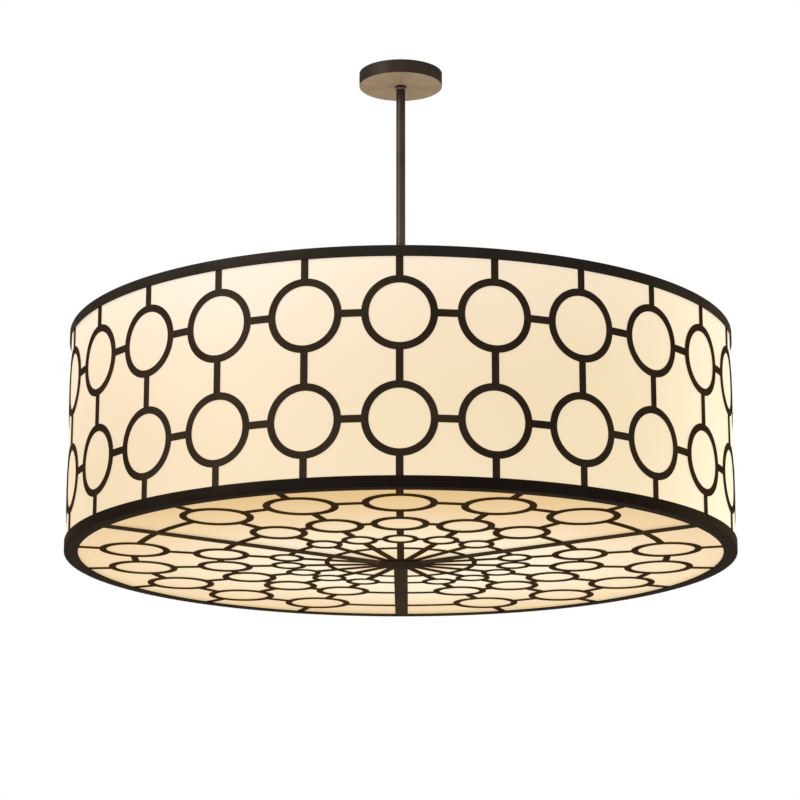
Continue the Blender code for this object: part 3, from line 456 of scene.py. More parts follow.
def plateMesh(outline, low, high, edge=0.0):
    # A flat outline made into a plate, with its long edges rounded by edge
    builder = bmesh.new()
    rows = [[builder.verts.new((x, y, height)) for x, y in outline] for height in (low, high)]
    for row in rows:
        builder.faces.new(row)
    joinRows(builder, *rows)
    merge(builder)
    if edge:
        level = [side for side in builder.edges
                 if abs(side.verts[0].co.z - side.verts[1].co.z) < mergeGap]
        bmesh.ops.bevel(builder, geom=level, offset=edge, segments=2, profile=0.5,
                        affect="EDGES", clamp_overlap=True)
    return meshFrom(builder)


def roundedOutline(middles, corner, firstTurn, steps):
    # Arcs round the middles of an outline's corners, one after the other
    sweep = wholeTurn / len(middles)
    points = []
    for index, (x, y) in enumerate(middles):
        for step in range(steps + 1):
            turn = firstTurn + sweep * (index + step / steps)
            points.append((x + corner * math.cos(turn), y + corner * math.sin(turn)))
    return points


def barOutline(start, end, width, corner, steps=6):
    # A bar along X with rounded corners; a corner of half the width makes its ends round
    near, far, across = start + corner, end - corner, width / 2 - corner
    middles = [(far, -across), (far, across), (near, across), (near, -across)]
    return roundedOutline(middles, corner, -quarterTurn, steps)


def plainMesh(thing):
    # What an object's modifiers make, as a mesh of its own
    bpy.context.view_layer.update()
    evaluated = thing.evaluated_get(bpy.context.evaluated_depsgraph_get())
    return smoothed(bpy.data.meshes.new_from_object(evaluated))


def cutMesh(mesh, cutters, operation="DIFFERENCE"):
    # The booleans run on objects that go again once the result is a plain mesh
    objects = [bpy.data.objects.new("cut", data) for data in [mesh] + cutters]
    for each in objects:
        bpy.context.scene.collection.objects.link(each)
    for cutter in objects[1:]:
        cut = objects[0].modifiers.new("cut", "BOOLEAN")
        cut.operation = operation
        cut.solver = "MANIFOLD"
        cut.object = cutter
    result = plainMesh(objects[0])
    for each in objects:
        bpy.data.objects.remove(each)
    return result


def holeCutter(radius, low, high, place=0.0, chamfer=crisp):
    # Cuts a round hole through a plate from low to high, place out along X, edges eased
    past = 0.001
    corners = [(0, low - past), (radius + chamfer + past, low - past), (radius, low + chamfer),
               (radius, high - chamfer), (radius + chamfer + past, high + past), (0, high + past)]
    cutter = turnedMesh(corners, 32)
    cutter.transform(Matrix.Translation((place, 0, 0)))
    return cutter


def nutMesh(bore, halfFlats, low, high):
    # A hexagon with the usual 30 degree chamfer at both faces
    corner, cone = halfFlats * 2 / math.sqrt(3), halfFlats * 0.96
    wide, slope = corner * 1.04, (corner - cone) * math.tan(math.radians(30)) * 1.3
    corners = [(bore + soft, low), (cone, low), (wide, low + slope), (wide, high - slope),
               (cone, high), (bore + soft, high), (bore, high - soft), (bore, low + soft)]
    prism = turnedMesh(tubeCorners(0, corner, low, high), 6)
    return cutMesh(prism, [turnedMesh(corners, 48)], "INTERSECT")


def nutIn(node, bore):
    low, high = boxOf(node)
    return nutMesh(bore, high.y, low.z, high.z)


def thread(radius, start, stop, pitch=0.001, depth=0.0004):
    # Ridges from start to stop, as corners of a turned profile
    ridges = max(2, round(abs(stop - start) / pitch))
    corners = []
    for ridge in range(ridges):
        corners.append((radius, start + (stop - start) * ridge / ridges))
        corners.append((radius - depth, start + (stop - start) * (ridge + 0.5) / ridges))
    return corners + [(radius, stop)]


def addPiece(name, mesh, material, *replaced, body="drum"):
    mesh.name = name
    mesh.materials.clear()
    mesh.materials.append(material)
    piece = bpy.data.objects.new(name, mesh)
    bpy.context.scene.collection.objects.link(piece)
    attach(piece, body)
    if replaced:
        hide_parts(*replaced)


def addThirds(name, mesh, material, stem, bodyStem=None):
    # Three pieces in a ring, the first one at the front
    for number, copy in enumerate(copiesAt(mesh, 3, frontTurn), 1):
        body = "%s_%d" % (bodyStem, number) if bodyStem else "drum"
        addPiece("%s%d" % (name, number), copy, material, "%s_%d" % (stem, number), body=body)


# Geometry Nodes. A builder makes the tree; its sizes are the modifier's named inputs.

class ShapeTree(Tree):
    def __init__(self, name, sizes, takesMesh=False):
        group = bpy.data.node_groups.new(name, "GeometryNodeTree")
        if takesMesh:
            group.interface.new_socket("Piece", in_out="INPUT", socket_type="NodeSocketGeometry")
        group.interface.new_socket("Geometry", in_out="OUTPUT", socket_type="NodeSocketGeometry")
        super().__init__(group)
        self.sizes = sizes
        self.sockets = {}
        for label, value in sizes.items():
            kind = "NodeSocketInt" if isinstance(value, int) else "NodeSocketFloat"
            socket = group.interface.new_socket(label, in_out="INPUT", socket_type=kind)
            self.sockets[label] = socket.identifier
        entry = group.nodes.new("NodeGroupInput")
        self.wires = {output.name: Wire(self, output) for output in entry.outputs if output.name}

    def __getitem__(self, label):
        return self.wires[label]

    def strip(self, width, sheet, edge):
        box = self.node("GeometryNodeCurvePrimitiveQuadrilateral", {"mode": "RECTANGLE"},
                        {"Width": width, "Height": sheet})
        return self.node("GeometryNodeFilletCurve", {"mode": "POLY"},
                         {"Curve": box, "Count": 1, "Radius": edge, "Limit Radius": True})

    def swept(self, curve, strip, capped):
        level = self.node("GeometryNodeSetCurveNormal", {"mode": "Z_UP"}, {"Curve": curve})
        return self.node("GeometryNodeCurveToMesh", None, {
            "Curve": level, "Profile Curve": strip, "Fill Caps": capped})

    def ring(self, radius, steps, strip):
        circle = self.node("GeometryNodeCurvePrimitiveCircle", {"mode": "RADIUS"},
                           {"Resolution": steps, "Radius": radius})
        return self.swept(circle, strip, False)

    def bar(self, start, end, strip):
        line = self.node("GeometryNodeCurvePrimitiveLine", {"mode": "POINTS"},
                         {"Start": start, "End": end})
        return self.swept(line, strip, True)

    def arc(self, radius, strip, start, sweep):
        curve = self.node("GeometryNodeCurveArc", {"mode": "RADIUS"}, {
            "Resolution": self["Arc steps"], "Radius": radius, "Start Angle": start,
            "Sweep Angle": sweep})
        return self.swept(curve, strip, True)

    def moved(self, geometry, place):
        return self.node("GeometryNodeTransform", None, {
            "Geometry": geometry, "Translation": place})

    def placed(self, geometry, place):
        return self.node("GeometryNodeSetPosition", None, {
            "Geometry": geometry, "Position": place})

    def copies(self, geometry, count, offset, rotation):
        points = self.node("GeometryNodeMeshLine", {"mode": "OFFSET"}, {
            "Count": count, "Offset": offset})
        copies = self.node("GeometryNodeInstanceOnPoints", None, {
            "Points": points, "Instance": geometry, "Rotation": rotation})
        return self.node("GeometryNodeRealizeInstances", None, {"Geometry": copies})

    def turnedRound(self, geometry, count, spacing, firstTurn):
        turn = self.node("GeometryNodeInputIndex") * spacing + firstTurn
        return self.copies(geometry, count, (0.0, 0.0, 0.0), self.vector(z=turn))

    def united(self, meshes):
        return self.node("GeometryNodeMeshBoolean", {"operation": "UNION", "solver": "MANIFOLD"},
                         {"Mesh 2": meshes})

    def merged(self, geometry):
        return self.node("GeometryNodeMergeByDistance", None, {
            "Geometry": geometry, "Distance": mergeGap * 10})

    def place(self):
        return self.split(self.node("GeometryNodeInputPosition"))

    def finishMesh(self, geometry, material, base=None):
        real = self.node("GeometryNodeRealizeInstances", None, {"Geometry": geometry})
        painted = self.node("GeometryNodeSetMaterial", None, {
            "Geometry": real, "Material": material})
        self.node("NodeGroupOutput", None, {"Geometry": painted})
        host = bpy.data.objects.new("host", base or bpy.data.meshes.new("host"))
        bpy.context.scene.collection.objects.link(host)
        modifier = host.modifiers.new("shape", "NODES")
        modifier.node_group = self.tree
        for label, value in self.sizes.items():
            modifier[self.sockets[label]] = value
        mesh = plainMesh(host)
        host.modifiers.remove(modifier)
        bpy.data.objects.remove(host)
        return mesh


def addCopies(name, mesh, material, count, firstTurn, stem=None):
    # One piece repeated at equal turns round the stem, as one object
    tree = ShapeTree(name, {"Copies": count, "First turn": firstTurn}, takesMesh=True)
    spacing = wholeTurn / tree["Copies"]
    copies = tree.turnedRound(tree["Piece"], tree["Copies"], spacing, tree["First turn"])
    replaced = numbered(stem, count) if stem else []
    addPiece(name, tree.finishMesh(copies, material, mesh), material, *replaced)


# The drum's rims: rolled angle section, with the crisp outer corner softly rounded

rimSizes = {"wall": 0.0014, "outerFillet": 0.0007, "steps": 288, "flangeRadius": 0.5842,
            "screwHole": 0.0028, "screwPlace": 0.5924}
upperLow, upperHigh = boxOf("upper_rim")
lowerLow, lowerHigh = boxOf("lower_rim")
drumRadius, flangeRadius = upperHigh.x, rimSizes["flangeRadius"]
screwPlace, screwHole = rimSizes["screwPlace"], rimSizes["screwHole"]
seamTurn = frontTurn + wholeTurn / 6


def rimMesh(face, edge, inward):
    inside, flangeFace = drumRadius - rimSizes["wall"], face + inward * rimSizes["wall"]
    corners = [(drumRadius, face, rimSizes["outerFillet"]), (drumRadius, edge, soft),
               (inside, edge, soft), (inside, flangeFace, soft),
               (flangeRadius, flangeFace, soft), (flangeRadius, face, soft)]
    return turnedMesh(corners, rimSizes["steps"])


rimHole = holeCutter(screwHole, upperHigh.z - rimSizes["wall"], upperHigh.z, screwPlace)
upperRim = cutMesh(rimMesh(upperHigh.z, upperLow.z, -1), copiesAt(rimHole, 3, seamTurn))
addPiece("upperRim", upperRim, bronzeFinish("upperRimBronze", upperRimLooks), "upper_rim")
# The lower rim's darker bronze is painted shade
addPiece("lowerRim", rimMesh(lowerLow.z, lowerHigh.z, 1),
         bronzeFinish("shadedLowerRimBronze", shadedLowerRimLooks), "lower_rim")
print("rims made")

# Side fretwork: one column of two linked rings, repeated round the drum

sideNodes = numbered("side_fretwork", 3)
sideLow, sideHigh = boxOf(*sideNodes)
sheetRadius = (sideHigh.x - sideLow.x) / 2
columns = 24
sideSizes = {
    "Columns": columns, "Row spacing": 0.1786, "Ring inner radius": 0.0508,
    "Ring band": 0.0127, "Bar width": 0.0127, "Sheet": 0.0018, "Edge": fine, "Ring steps": 72,
    "Height": sideHigh.z - sideLow.z, "Sheet radius": sheetRadius,
    "Column pitch": wholeTurn * sheetRadius / columns, "Middle": (sideHigh.z + sideLow.z) / 2}


def sideFretworkMesh():
    tree = ShapeTree("sideFretwork", sideSizes)
    sheet, pitch = tree["Sheet"], tree["Column pitch"]
    ringStrip = tree.strip(tree["Ring band"], sheet, tree["Edge"])
    barStrip = tree.strip(tree["Bar width"], sheet, tree["Edge"])
    ringMiddle = tree["Ring inner radius"] + tree["Ring band"] / 2
    top, halfPitch, row = tree["Height"] / 2, pitch / 2, tree["Row spacing"] / 2
    parts = [tree.bar(tree.vector(y=row - ringMiddle), tree.vector(y=ringMiddle - row), barStrip)]
    for side in (-1, 1):
        height = row * side
        parts.append(tree.moved(tree.ring(ringMiddle, tree["Ring steps"], ringStrip),
                                tree.vector(y=height)))
        parts.append(tree.bar(tree.vector(y=(row + ringMiddle) * side), tree.vector(y=top * side),
                              barStrip))
        for hand in (-1, 1):
            parts.append(tree.bar(tree.vector(ringMiddle * hand, height),
                                  tree.vector(halfPitch * hand, height), barStrip))
    column = tree.united(parts)
    x, _, _ = tree.place()
    atEnd = tree.node("FunctionNodeCompare", {"data_type": "FLOAT", "operation": "GREATER_THAN"},
                      {"A": x.function("ABSOLUTE"), "B": halfPitch - mergeGap * 10})
    openEnded = tree.node("GeometryNodeDeleteGeometry", {"domain": "FACE", "mode": "ALL"},
                          {"Geometry": column, "Selection": atEnd})
    flat = tree.merged(tree.copies(openEnded, tree["Columns"], tree.vector(pitch), (0, 0, 0)))
    x, y, z = tree.place()
    turn = x / tree["Sheet radius"] + frontTurn
    radius = tree["Sheet radius"] - sheet / 2 + z
    rolled = tree.vector(radius * turn.function("COSINE"), radius * turn.function("SINE"),
                         y + tree["Middle"])
    return tree.finishMesh(tree.merged(tree.placed(flat, rolled)), bronze)


addPiece("sideFretwork", sideFretworkMesh(), bronze, *sideNodes)
print("side fretwork made")

# Bottom fretwork: spokes with a ring on each row, tied by arcs, for one third of the bottom

bottomSizes = {
    "Spokes": 5, "Spoke turn": math.radians(20), "Spoke width": 0.0127, "Sheet": 0.0016,
    "Edge": 0.00018, "Ring steps": 64, "Arc steps": 24, "Panel radius": 0.6019,
    "Outer row": 0.4837, "Outer ring": 0.0510, "Outer band": 0.0125,
    "Middle row": 0.3280, "Middle ring": 0.0387, "Middle band": 0.0122,
    "Inner row": 0.2088, "Inner ring": 0.0226, "Inner band": 0.0097,
    "Circle": 0.134, "Circle width": 0.0095, "Tip plate": 0.042, "Tip": 0.013,
    "Tip overlap": 0.004, "Seam edge": 0.0022, "Flange radius": flangeRadius,
    "Hub radius": 0.040, "Sag": 0.0112, "Seat": lowerLow.z + rimSizes["wall"] + fine}


def panelHeight(radius):
    # The panels' underside is a shallow cone from the flange down to the hub
    share = (flangeRadius - radius) / (flangeRadius - bottomSizes["Hub radius"])
    return bottomSizes["Seat"] - bottomSizes["Sag"] * share


def bottomFretworkMesh():
    tree = ShapeTree("bottomFretwork", bottomSizes)
    sheet, spacing, seamEdge = tree["Sheet"], tree["Spoke turn"], tree["Seam edge"]
    spokeStrip = tree.strip(tree["Spoke width"], sheet, tree["Edge"])
    firstTurn = (tree["Spokes"] - 1) * spacing * -0.5

    def edgeTurn(radius):
        # From the panel's middle to its edge beside the seam bar
        return wholeTurn / 6 - (seamEdge / radius).function("ARCSINE")

    def wideArc(radius, width, innerRadius):
        # An arc right across the panel
        halfTurn = edgeTurn(innerRadius)
        strip = tree.strip(width, sheet, tree["Edge"])
        return tree.arc(radius, strip, halfTurn * -1, halfTurn * 2)

    parts, spokeParts, spokeStart = [], [], tree["Tip plate"] - tree["Tip overlap"]
    for row in ("Inner", "Middle", "Outer"):
        out, band = tree[row + " row"], tree[row + " band"]
        ringMiddle = tree[row + " ring"] + band / 2
        strip = tree.strip(band, sheet, tree["Edge"])
        spokeParts.append(tree.moved(tree.ring(ringMiddle, tree["Ring steps"], strip),
                                     tree.vector(out)))
        spokeParts.append(tree.bar(tree.vector(spokeStart), tree.vector(out - ringMiddle),
                                   spokeStrip))
        spokeStart = out + ringMiddle
        ringTurn = (ringMiddle / (out * 2)).function("ARCSINE") * 2
        link = tree.arc(out, strip, ringTurn, spacing - ringTurn * 2)
        parts.append(tree.turnedRound(link, tree["Spokes"] - 1, spacing, firstTurn))
        halfTurn = edgeTurn(out - band)
        endSweep = halfTurn + firstTurn - ringTurn
        parts.append(tree.arc(out, strip, ringTurn - firstTurn, endSweep))
        parts.append(tree.arc(out, strip, halfTurn * -1, endSweep))
    spokeParts.append(tree.bar(tree.vector(spokeStart), tree.vector(tree["Panel radius"]),
                               spokeStrip))
    parts.append(tree.turnedRound(tree.united(spokeParts), tree["Spokes"], spacing, firstTurn))
    parts.append(wideArc(tree["Circle"], tree["Circle width"],
                         tree["Circle"] - tree["Circle width"]))
    tipWidth = tree["Tip plate"] - tree["Tip"]
    parts.append(wideArc(tree["Tip"] + tipWidth / 2, tipWidth, tree["Tip"]))
    x, y, z = tree.place()
    radius = (x * x + y * y).function("SQRT")
    flange = tree["Flange radius"]
    fall = tree["Sag"] * (flange - radius) / (flange - tree["Hub radius"])
    coned = tree.vector(x, y, z + sheet / 2 + tree["Seat"] - fall)
    return tree.finishMesh(tree.placed(tree.united(parts), coned), litBottomBronze)


# Its bronze is painted lighter and warmer: painted light from the lenses
addThirds("bottomFretwork", bottomFretworkMesh(), litBottomBronze, "bottom_fretwork", "panel")
print("bottom fretwork made")


# Shade: three rolled sheets of cream acrylic that meet behind columns of the fretwork

shadeLooks = {
    "wall": 0.0024, "fillet": 0.0006, "steps": 96, "joint": 0.0003, "light": 0.763,
    "ends": -0.029, "endsSquared": -0.022, "endsCubed": 0.126, "up": 0.035, "upSquared": 0.045,
    "cross": -0.045, "blue": 1.01, "blueRight": -0.065, "blueUp": 0.037, "blueEnds": -0.04}
shadeLow, shadeHigh = boxOf(*numbered("shade_segment", 3))
shadeRadius = (shadeHigh.x - shadeLow.x) / 2
shadeMiddle = (shadeLow.z + shadeHigh.z) / 2


def shadePlace(x, z):
    # 1 at the right end and -1 at the left, and 1 at the top edge and -1 at the bottom one
    return x / shadeRadius, (z - shadeMiddle) / (shadeHigh.z - shadeMiddle)


def shadeLight(x, y, z):
    side, up = shadePlace(x, z)
    return (shadeLooks["light"] + shadeLooks["ends"] * side
            + shadeLooks["endsSquared"] * side * side
            + shadeLooks["endsCubed"] * side * side * side + shadeLooks["up"] * up
            + shadeLooks["upSquared"] * up * up + shadeLooks["cross"] * side * up)


def shadeBlue(x, y, z):
    # Whiter up on the left, yellower down on the right
    side, up = shadePlace(x, z)
    return (shadeLooks["blue"] + shadeLooks["blueRight"] * side + shadeLooks["blueUp"] * up
            + shadeLooks["blueEnds"] * side * side)


def shadeHalfTurn(radius):
    return wholeTurn / 6 - shadeLooks["joint"] / 2 / radius


shadeCorners = tubeCorners(shadeRadius - shadeLooks["wall"], shadeRadius, shadeLow.z, shadeHigh.z,
                           [shadeLooks["fillet"]] * 4)
addThirds("shade", turnedMesh(shadeCorners, shadeLooks["steps"], shadeHalfTurn),
          acrylicFinish("creamAcrylicShade", shadeAcrylic, shadeLight, shadeBlue), "shade_segment")
print("shade made")


# Bottom lenses: flat-bent acrylic wedges that lie on the fretwork

lensLooks = {
    "wall": 0.0023, "fillet": 0.0005, "steps": 72, "rise": 0.0019, "light": 0.922,
    "right": 0.057, "back": 0.173, "out": -1.333, "outSquared": 1.575, "along": -0.49,
    "shadow": 0.254, "shadowRadius": 0.2}


def lensLight(x, y, z):
    # Brightest inside the ring of bulbs, dimmer under the lamp box and out at the rim
    out = x * x + y * y
    shadow = 1 - out.function("SQRT").eased(0.0, lensLooks["shadowRadius"])
    return (lensLooks["light"] + lensLooks["right"] * x + lensLooks["back"] * y
            + lensLooks["out"] * out + lensLooks["outSquared"] * out * out
            + lensLooks["along"] * y * y - lensLooks["shadow"] * shadow)


def lensHalfTurn(radius):
    return wholeTurn / 6 - math.asin(bottomSizes["Seam edge"] / radius)


lensUnder, lensTop = lensLooks["rise"], lensLooks["rise"] + lensLooks["wall"]
lensCorners = [(radius, panelHeight(radius) + rise, lensLooks["fillet"]) for radius, rise in (
    (bottomSizes["Tip"], lensUnder), (bottomSizes["Panel radius"], lensUnder),
    (bottomSizes["Panel radius"], lensTop), (bottomSizes["Tip"], lensTop))]
addThirds("bottomLens", turnedMesh(lensCorners, lensLooks["steps"], lensHalfTurn),
          acrylicFinish("creamAcrylicLens", lensAcrylic, lensLight), "bottom_lens", "panel")
print("lenses made")


# Seam bars: T section, from the bottom hub out to the rim's flange

seamSizes = {"width": 0.0254, "flange": 0.0014, "ribWidth": 0.0032, "ribHeight": 0.0127,
             "fillet": 0.0005, "inner": 0.0403, "outer": 0.5836, "gap": 0.0003}


def seamBarMesh():
    half, rib, ease = seamSizes["width"] / 2, seamSizes["ribWidth"] / 2, seamSizes["fillet"]
    under, tall = -seamSizes["flange"], seamSizes["ribHeight"]
    right = [(half, under, ease), (half, 0, ease), (rib, 0, ease), (rib, tall, ease)]
    corners = right + [(-across, height, ease) for across, height, _ in reversed(right)]
    builder = bmesh.new()
    rows = []
    for radius in (seamSizes["inner"], seamSizes["outer"]):
        top = panelHeight(radius) - seamSizes["gap"]
        rows.append([builder.verts.new((radius, across, top + height))
                     for across, height in filleted(corners)])
    joinRows(builder, *rows)
    for row in rows:
        builder.faces.new(row)
    return meshFrom(builder)


# Their lighter, warmer bronze is painted light
addCopies("seamBars", seamBarMesh(), litSeamBronze, 3, seamTurn, "seam_bar")

hubLow, hubHigh = boxOf("bottom_hub")
hubSizes = {"fillet": 0.0007, "boss": 0.009, "bossFoot": 0.001, "bossTop": 0.0006,
            "bore": 0.00505, "floor": 0.001}
bossRadius, hubBore = hubSizes["boss"], hubSizes["bore"]
bossFoot = panelHeight(bossRadius) - seamSizes["gap"]
hubFloor = bossFoot + hubSizes["floor"]
hubCorners = [(0, hubLow.z), (hubHigh.x, hubLow.z, hubSizes["fillet"]),
              (hubHigh.x, panelHeight(hubHigh.x) - seamSizes["gap"], soft),
              (bossRadius, bossFoot, hubSizes["bossFoot"]),
              (bossRadius, hubHigh.z, hubSizes["bossTop"]), (hubBore, hubHigh.z, fine),
              (hubBore, hubFloor), (0, hubFloor)]
addPiece("bottomHub", turnedMesh(hubCorners, 96), bronze, "bottom_hub")
print("seam bars and bottom hub made")


# Canopy, its collar and the stem

canopyLow, canopyHigh = boxOf("canopy")
canopySizes = {"wall": 0.0012, "fillet": 0.0014, "hole": 0.00925, "steps": 160}
canopyRadius, canopyHole = canopyHigh.x, canopySizes["hole"]
canopyInside, canopyFloor = canopyRadius - canopySizes["wall"], canopyLow.z + canopySizes["wall"]
canopyCorners = [(canopyHole, canopyLow.z, soft),
                 (canopyRadius, canopyLow.z, canopySizes["fillet"]), (canopyRadius, 0.0, soft),
                 (canopyInside, 0.0, soft), (canopyInside, canopyFloor, soft),
                 (canopyHole, canopyFloor, soft)]
addPiece("canopyCup", turnedMesh(canopyCorners, canopySizes["steps"]),
         canopyFinish("canopyBronzeLitFace", canopyLooks, canopyLow.z), "canopy", body="canopy_cup")

collarLow, collarHigh = boxOf("canopy_collar")
collarSizes = {"bore": 0.00885, "chamfer": 0.0009, "groove": 0.0006, "grooveFillet": 0.0001,
               "grooveDrop": 0.0011, "lip": 0.0034}
collarRadius, collarBore = collarHigh.x, collarSizes["bore"]
grooveTop = collarHigh.z - collarSizes["lip"]
grooveLow = grooveTop - collarSizes["grooveDrop"]
collarCorners = [
    (collarBore, collarLow.z, fine), (collarRadius, collarLow.z, collarSizes["chamfer"]),
    (collarRadius, grooveLow, crisp),
    (collarRadius - collarSizes["groove"], (grooveLow + grooveTop) / 2,
     collarSizes["grooveFillet"]),
    (collarRadius, grooveTop, crisp), (collarRadius, collarHigh.z, fine),
    (collarBore, collarHigh.z, fine)]
setScrewSizes = {"radius": 0.0017, "hole": 0.002, "key": 0.0009, "keyDepth": 0.0011,
                 "tip": 0.0012, "tipLength": 0.0004, "end": 0.0014, "endLength": 0.0003,
                 "pitch": 0.0005, "threadDepth": 0.0002}
screwLow, screwHigh = boxOf("collar_set_screw")
screwHeight = (screwLow.z + screwHigh.z) / 2
sideways = Matrix.Translation((0, 0, screwHeight)) @ Matrix.Rotation(-quarterTurn, 4, "X")
screwWay = turnedMesh(tubeCorners(0, setScrewSizes["hole"], 0, collarRadius * 2), 32)
screwWay.transform(sideways)
addPiece("collar", cutMesh(turnedMesh(collarCorners, 64), [screwWay]),
         collarFinish("highlightedCollarBronze", collarLooks, grooveTop), "canopy_collar",
         body="canopy_cup")

setScrewCorners = ([(0, screwLow.y), (setScrewSizes["tip"], screwLow.y)]
                   + thread(setScrewSizes["radius"], screwLow.y + setScrewSizes["tipLength"],
                            screwHigh.y - setScrewSizes["endLength"], setScrewSizes["pitch"],
                            setScrewSizes["threadDepth"])
                   + [(setScrewSizes["end"], screwHigh.y), (0, screwHigh.y)])
keyCutter = turnedMesh(tubeCorners(0, setScrewSizes["key"], screwHigh.y - setScrewSizes["keyDepth"],
                                   screwHigh.y + setScrewSizes["keyDepth"]), 6)
setScrew = cutMesh(turnedMesh(setScrewCorners, 32), [keyCutter])
setScrew.transform(sideways)
addPiece("collarSetScrew", setScrew, zinc, "collar_set_screw", body="canopy_cup")

stemLow, stemJoint = boxOf("stem_lower")[0].z, boxOf("stem_upper")[0].z
stemTop = boxOf("stem_upper")[1].z
stemSizes = {"radius": 0.00855, "bore": 0.0063, "spigotRadius": 0.006, "spigotBore": 0.0046,
             "spigot": 0.014, "boreStep": 0.001, "seam": 0.00014, "gap": 0.00002}
stemRadius, stemBore = stemSizes["radius"], stemSizes["bore"]
spigotRadius, spigotBore = stemSizes["spigotRadius"], stemSizes["spigotBore"]
upperEnd = stemJoint - stemSizes["seam"]
addPiece("stemUpper", turnedMesh(
    tubeCorners(stemBore, stemRadius, upperEnd, stemTop, (0, 0, soft, soft)), 64),
    stemBronze, "stem_upper")
lowerEnd = upperEnd - stemSizes["gap"]
spigotTop, boreTop = stemJoint + stemSizes["spigot"], stemJoint - stemSizes["spigot"]
addPiece("stemLower", turnedMesh([
    (stemBore, stemLow, soft), (stemRadius, stemLow, soft), (stemRadius, lowerEnd),
    (spigotRadius, lowerEnd), (spigotRadius, spigotTop, soft), (spigotBore, spigotTop, soft),
    (spigotBore, boreTop), (stemBore, boreTop - stemSizes["boreStep"])], 64),
    stemBronze, "stem_lower")
print("canopy, collar and stem made")


# Under the canopy: the strap on the ceiling box, its nut and nipple, and the ball swivel

strapLow, strapHigh = boxOf("mounting_strap")
strapSizes = {"hole": 0.00515, "slotMiddle": 0.0381, "slotLength": 0.012, "slotWidth": 0.005}
strapWidth = strapHigh.y - strapLow.y
strapCutters = [holeCutter(strapSizes["hole"], strapLow.z, strapHigh.z)]
halfSlot, slotWidth = strapSizes["slotLength"] / 2, strapSizes["slotWidth"]
for side in (-1, 1):
    middle = side * strapSizes["slotMiddle"]
    outline = barOutline(middle - halfSlot, middle + halfSlot, slotWidth, slotWidth / 2)
    strapCutters.append(plateMesh(outline, strapLow.z - halfSlot, strapHigh.z + halfSlot))
strapOutline = barOutline(strapLow.x, strapHigh.x, strapWidth, strapWidth / 2, 16)
strapPlate = plateMesh(strapOutline, strapLow.z, strapHigh.z, fine)
addPiece("mountingStrap", cutMesh(strapPlate, strapCutters), zinc, "mounting_strap",
         body="ceiling_fixing")
addPiece("strapNut", nutIn("strap_nut", strapSizes["hole"]), zinc, "strap_nut",
         body="ceiling_fixing")

nippleLow, nippleHigh = boxOf("swivel_nipple")
nippleSizes = {"radius": 0.00485, "bore": 0.0032, "end": 0.0045, "endLength": 0.0004}
nippleCorners = ([(nippleSizes["bore"], nippleLow.z, crisp), (nippleSizes["end"], nippleLow.z)]
                 + thread(nippleSizes["radius"], nippleLow.z + nippleSizes["endLength"],
                          nippleHigh.z - nippleSizes["endLength"])
                 + [(nippleSizes["end"], nippleHigh.z), (nippleSizes["bore"], nippleHigh.z, crisp)])
addPiece("swivelNipple", turnedMesh(nippleCorners, 48), brass, "swivel_nipple",
         body="ceiling_fixing")


def arcRun(middle, radius, start, stop, steps=16):
    # Corners on a ball's outline; angles run up from level
    turns = [math.radians(start + (stop - start) * step / steps) for step in range(steps + 1)]
    return [(radius * math.cos(turn), middle + radius * math.sin(turn)) for turn in turns]


swivelSizes = {"ballHeight": -0.016, "ball": 0.007, "ballBore": 0.003, "neck": 0.0056,
               "stud": 0.006, "studEnd": 0.0055, "studChamfer": 0.0005, "neckLength": 0.001,
               "seatInner": 0.0073, "seatOuter": 0.0088, "seatLow": -36, "seatHigh": 22,
               "cavity": 0.0091, "mouth": 0.0069, "mouthFillet": 0.0001, "ceiling": -0.0098,
               "roofHole": 0.00515, "lowFillet": 0.001, "topFillet": 0.0012}
swivelLow, swivelHigh = boxOf("swivel_socket")
ballHeight, ballRadius = swivelSizes["ballHeight"], swivelSizes["ball"]
mouthAngle = -math.degrees(math.acos(swivelSizes["mouth"] / swivelSizes["cavity"]))
socketCorners = ([(swivelHigh.x, swivelLow.z, swivelSizes["lowFillet"]),
                  (swivelHigh.x, swivelHigh.z, swivelSizes["topFillet"]),
                  (swivelSizes["roofHole"], swivelHigh.z, crisp),
                  (swivelSizes["roofHole"], swivelSizes["ceiling"]),
                  (swivelSizes["cavity"], swivelSizes["ceiling"])]
                 + arcRun(ballHeight, swivelSizes["cavity"], 0, mouthAngle)
                 + [(swivelSizes["mouth"], swivelLow.z, swivelSizes["mouthFillet"])])
addPiece("swivelSocket", turnedMesh(socketCorners, 64), brass, "swivel_socket",
         body="ceiling_fixing")

seatLow, seatHigh = swivelSizes["seatLow"], swivelSizes["seatHigh"]
seatCorners = (arcRun(ballHeight, swivelSizes["seatOuter"], seatLow, seatHigh)
               + arcRun(ballHeight, swivelSizes["seatInner"], seatHigh, seatLow))
addPiece("swivelSeat", turnedMesh(seatCorners, 64), nylon, "swivel_seat", body="swivel_ring")

ballLow, ballHigh = boxOf("swivel_ball")
flatAngle = math.degrees(math.asin((ballHigh.z - ballHeight) / ballRadius))
neckAngle = -math.degrees(math.acos(swivelSizes["neck"] / ballRadius))
ballCorners = ([(swivelSizes["ballBore"], ballLow.z, crisp), (swivelSizes["studEnd"], ballLow.z)]
               + thread(swivelSizes["stud"], ballLow.z + swivelSizes["studChamfer"],
                        stemTop - swivelSizes["neckLength"])
               + [(swivelSizes["neck"], stemTop)]
               + arcRun(ballHeight, ballRadius, neckAngle, flatAngle)
               + [(swivelSizes["ballBore"], ballHigh.z, fine)])
addPiece("swivelBall", turnedMesh(ballCorners, 64), brass, "swivel_ball")
print("ceiling fixing and swivel made")


# On the stem: the hub, its nuts, and the three flat arms screwed up into the rim

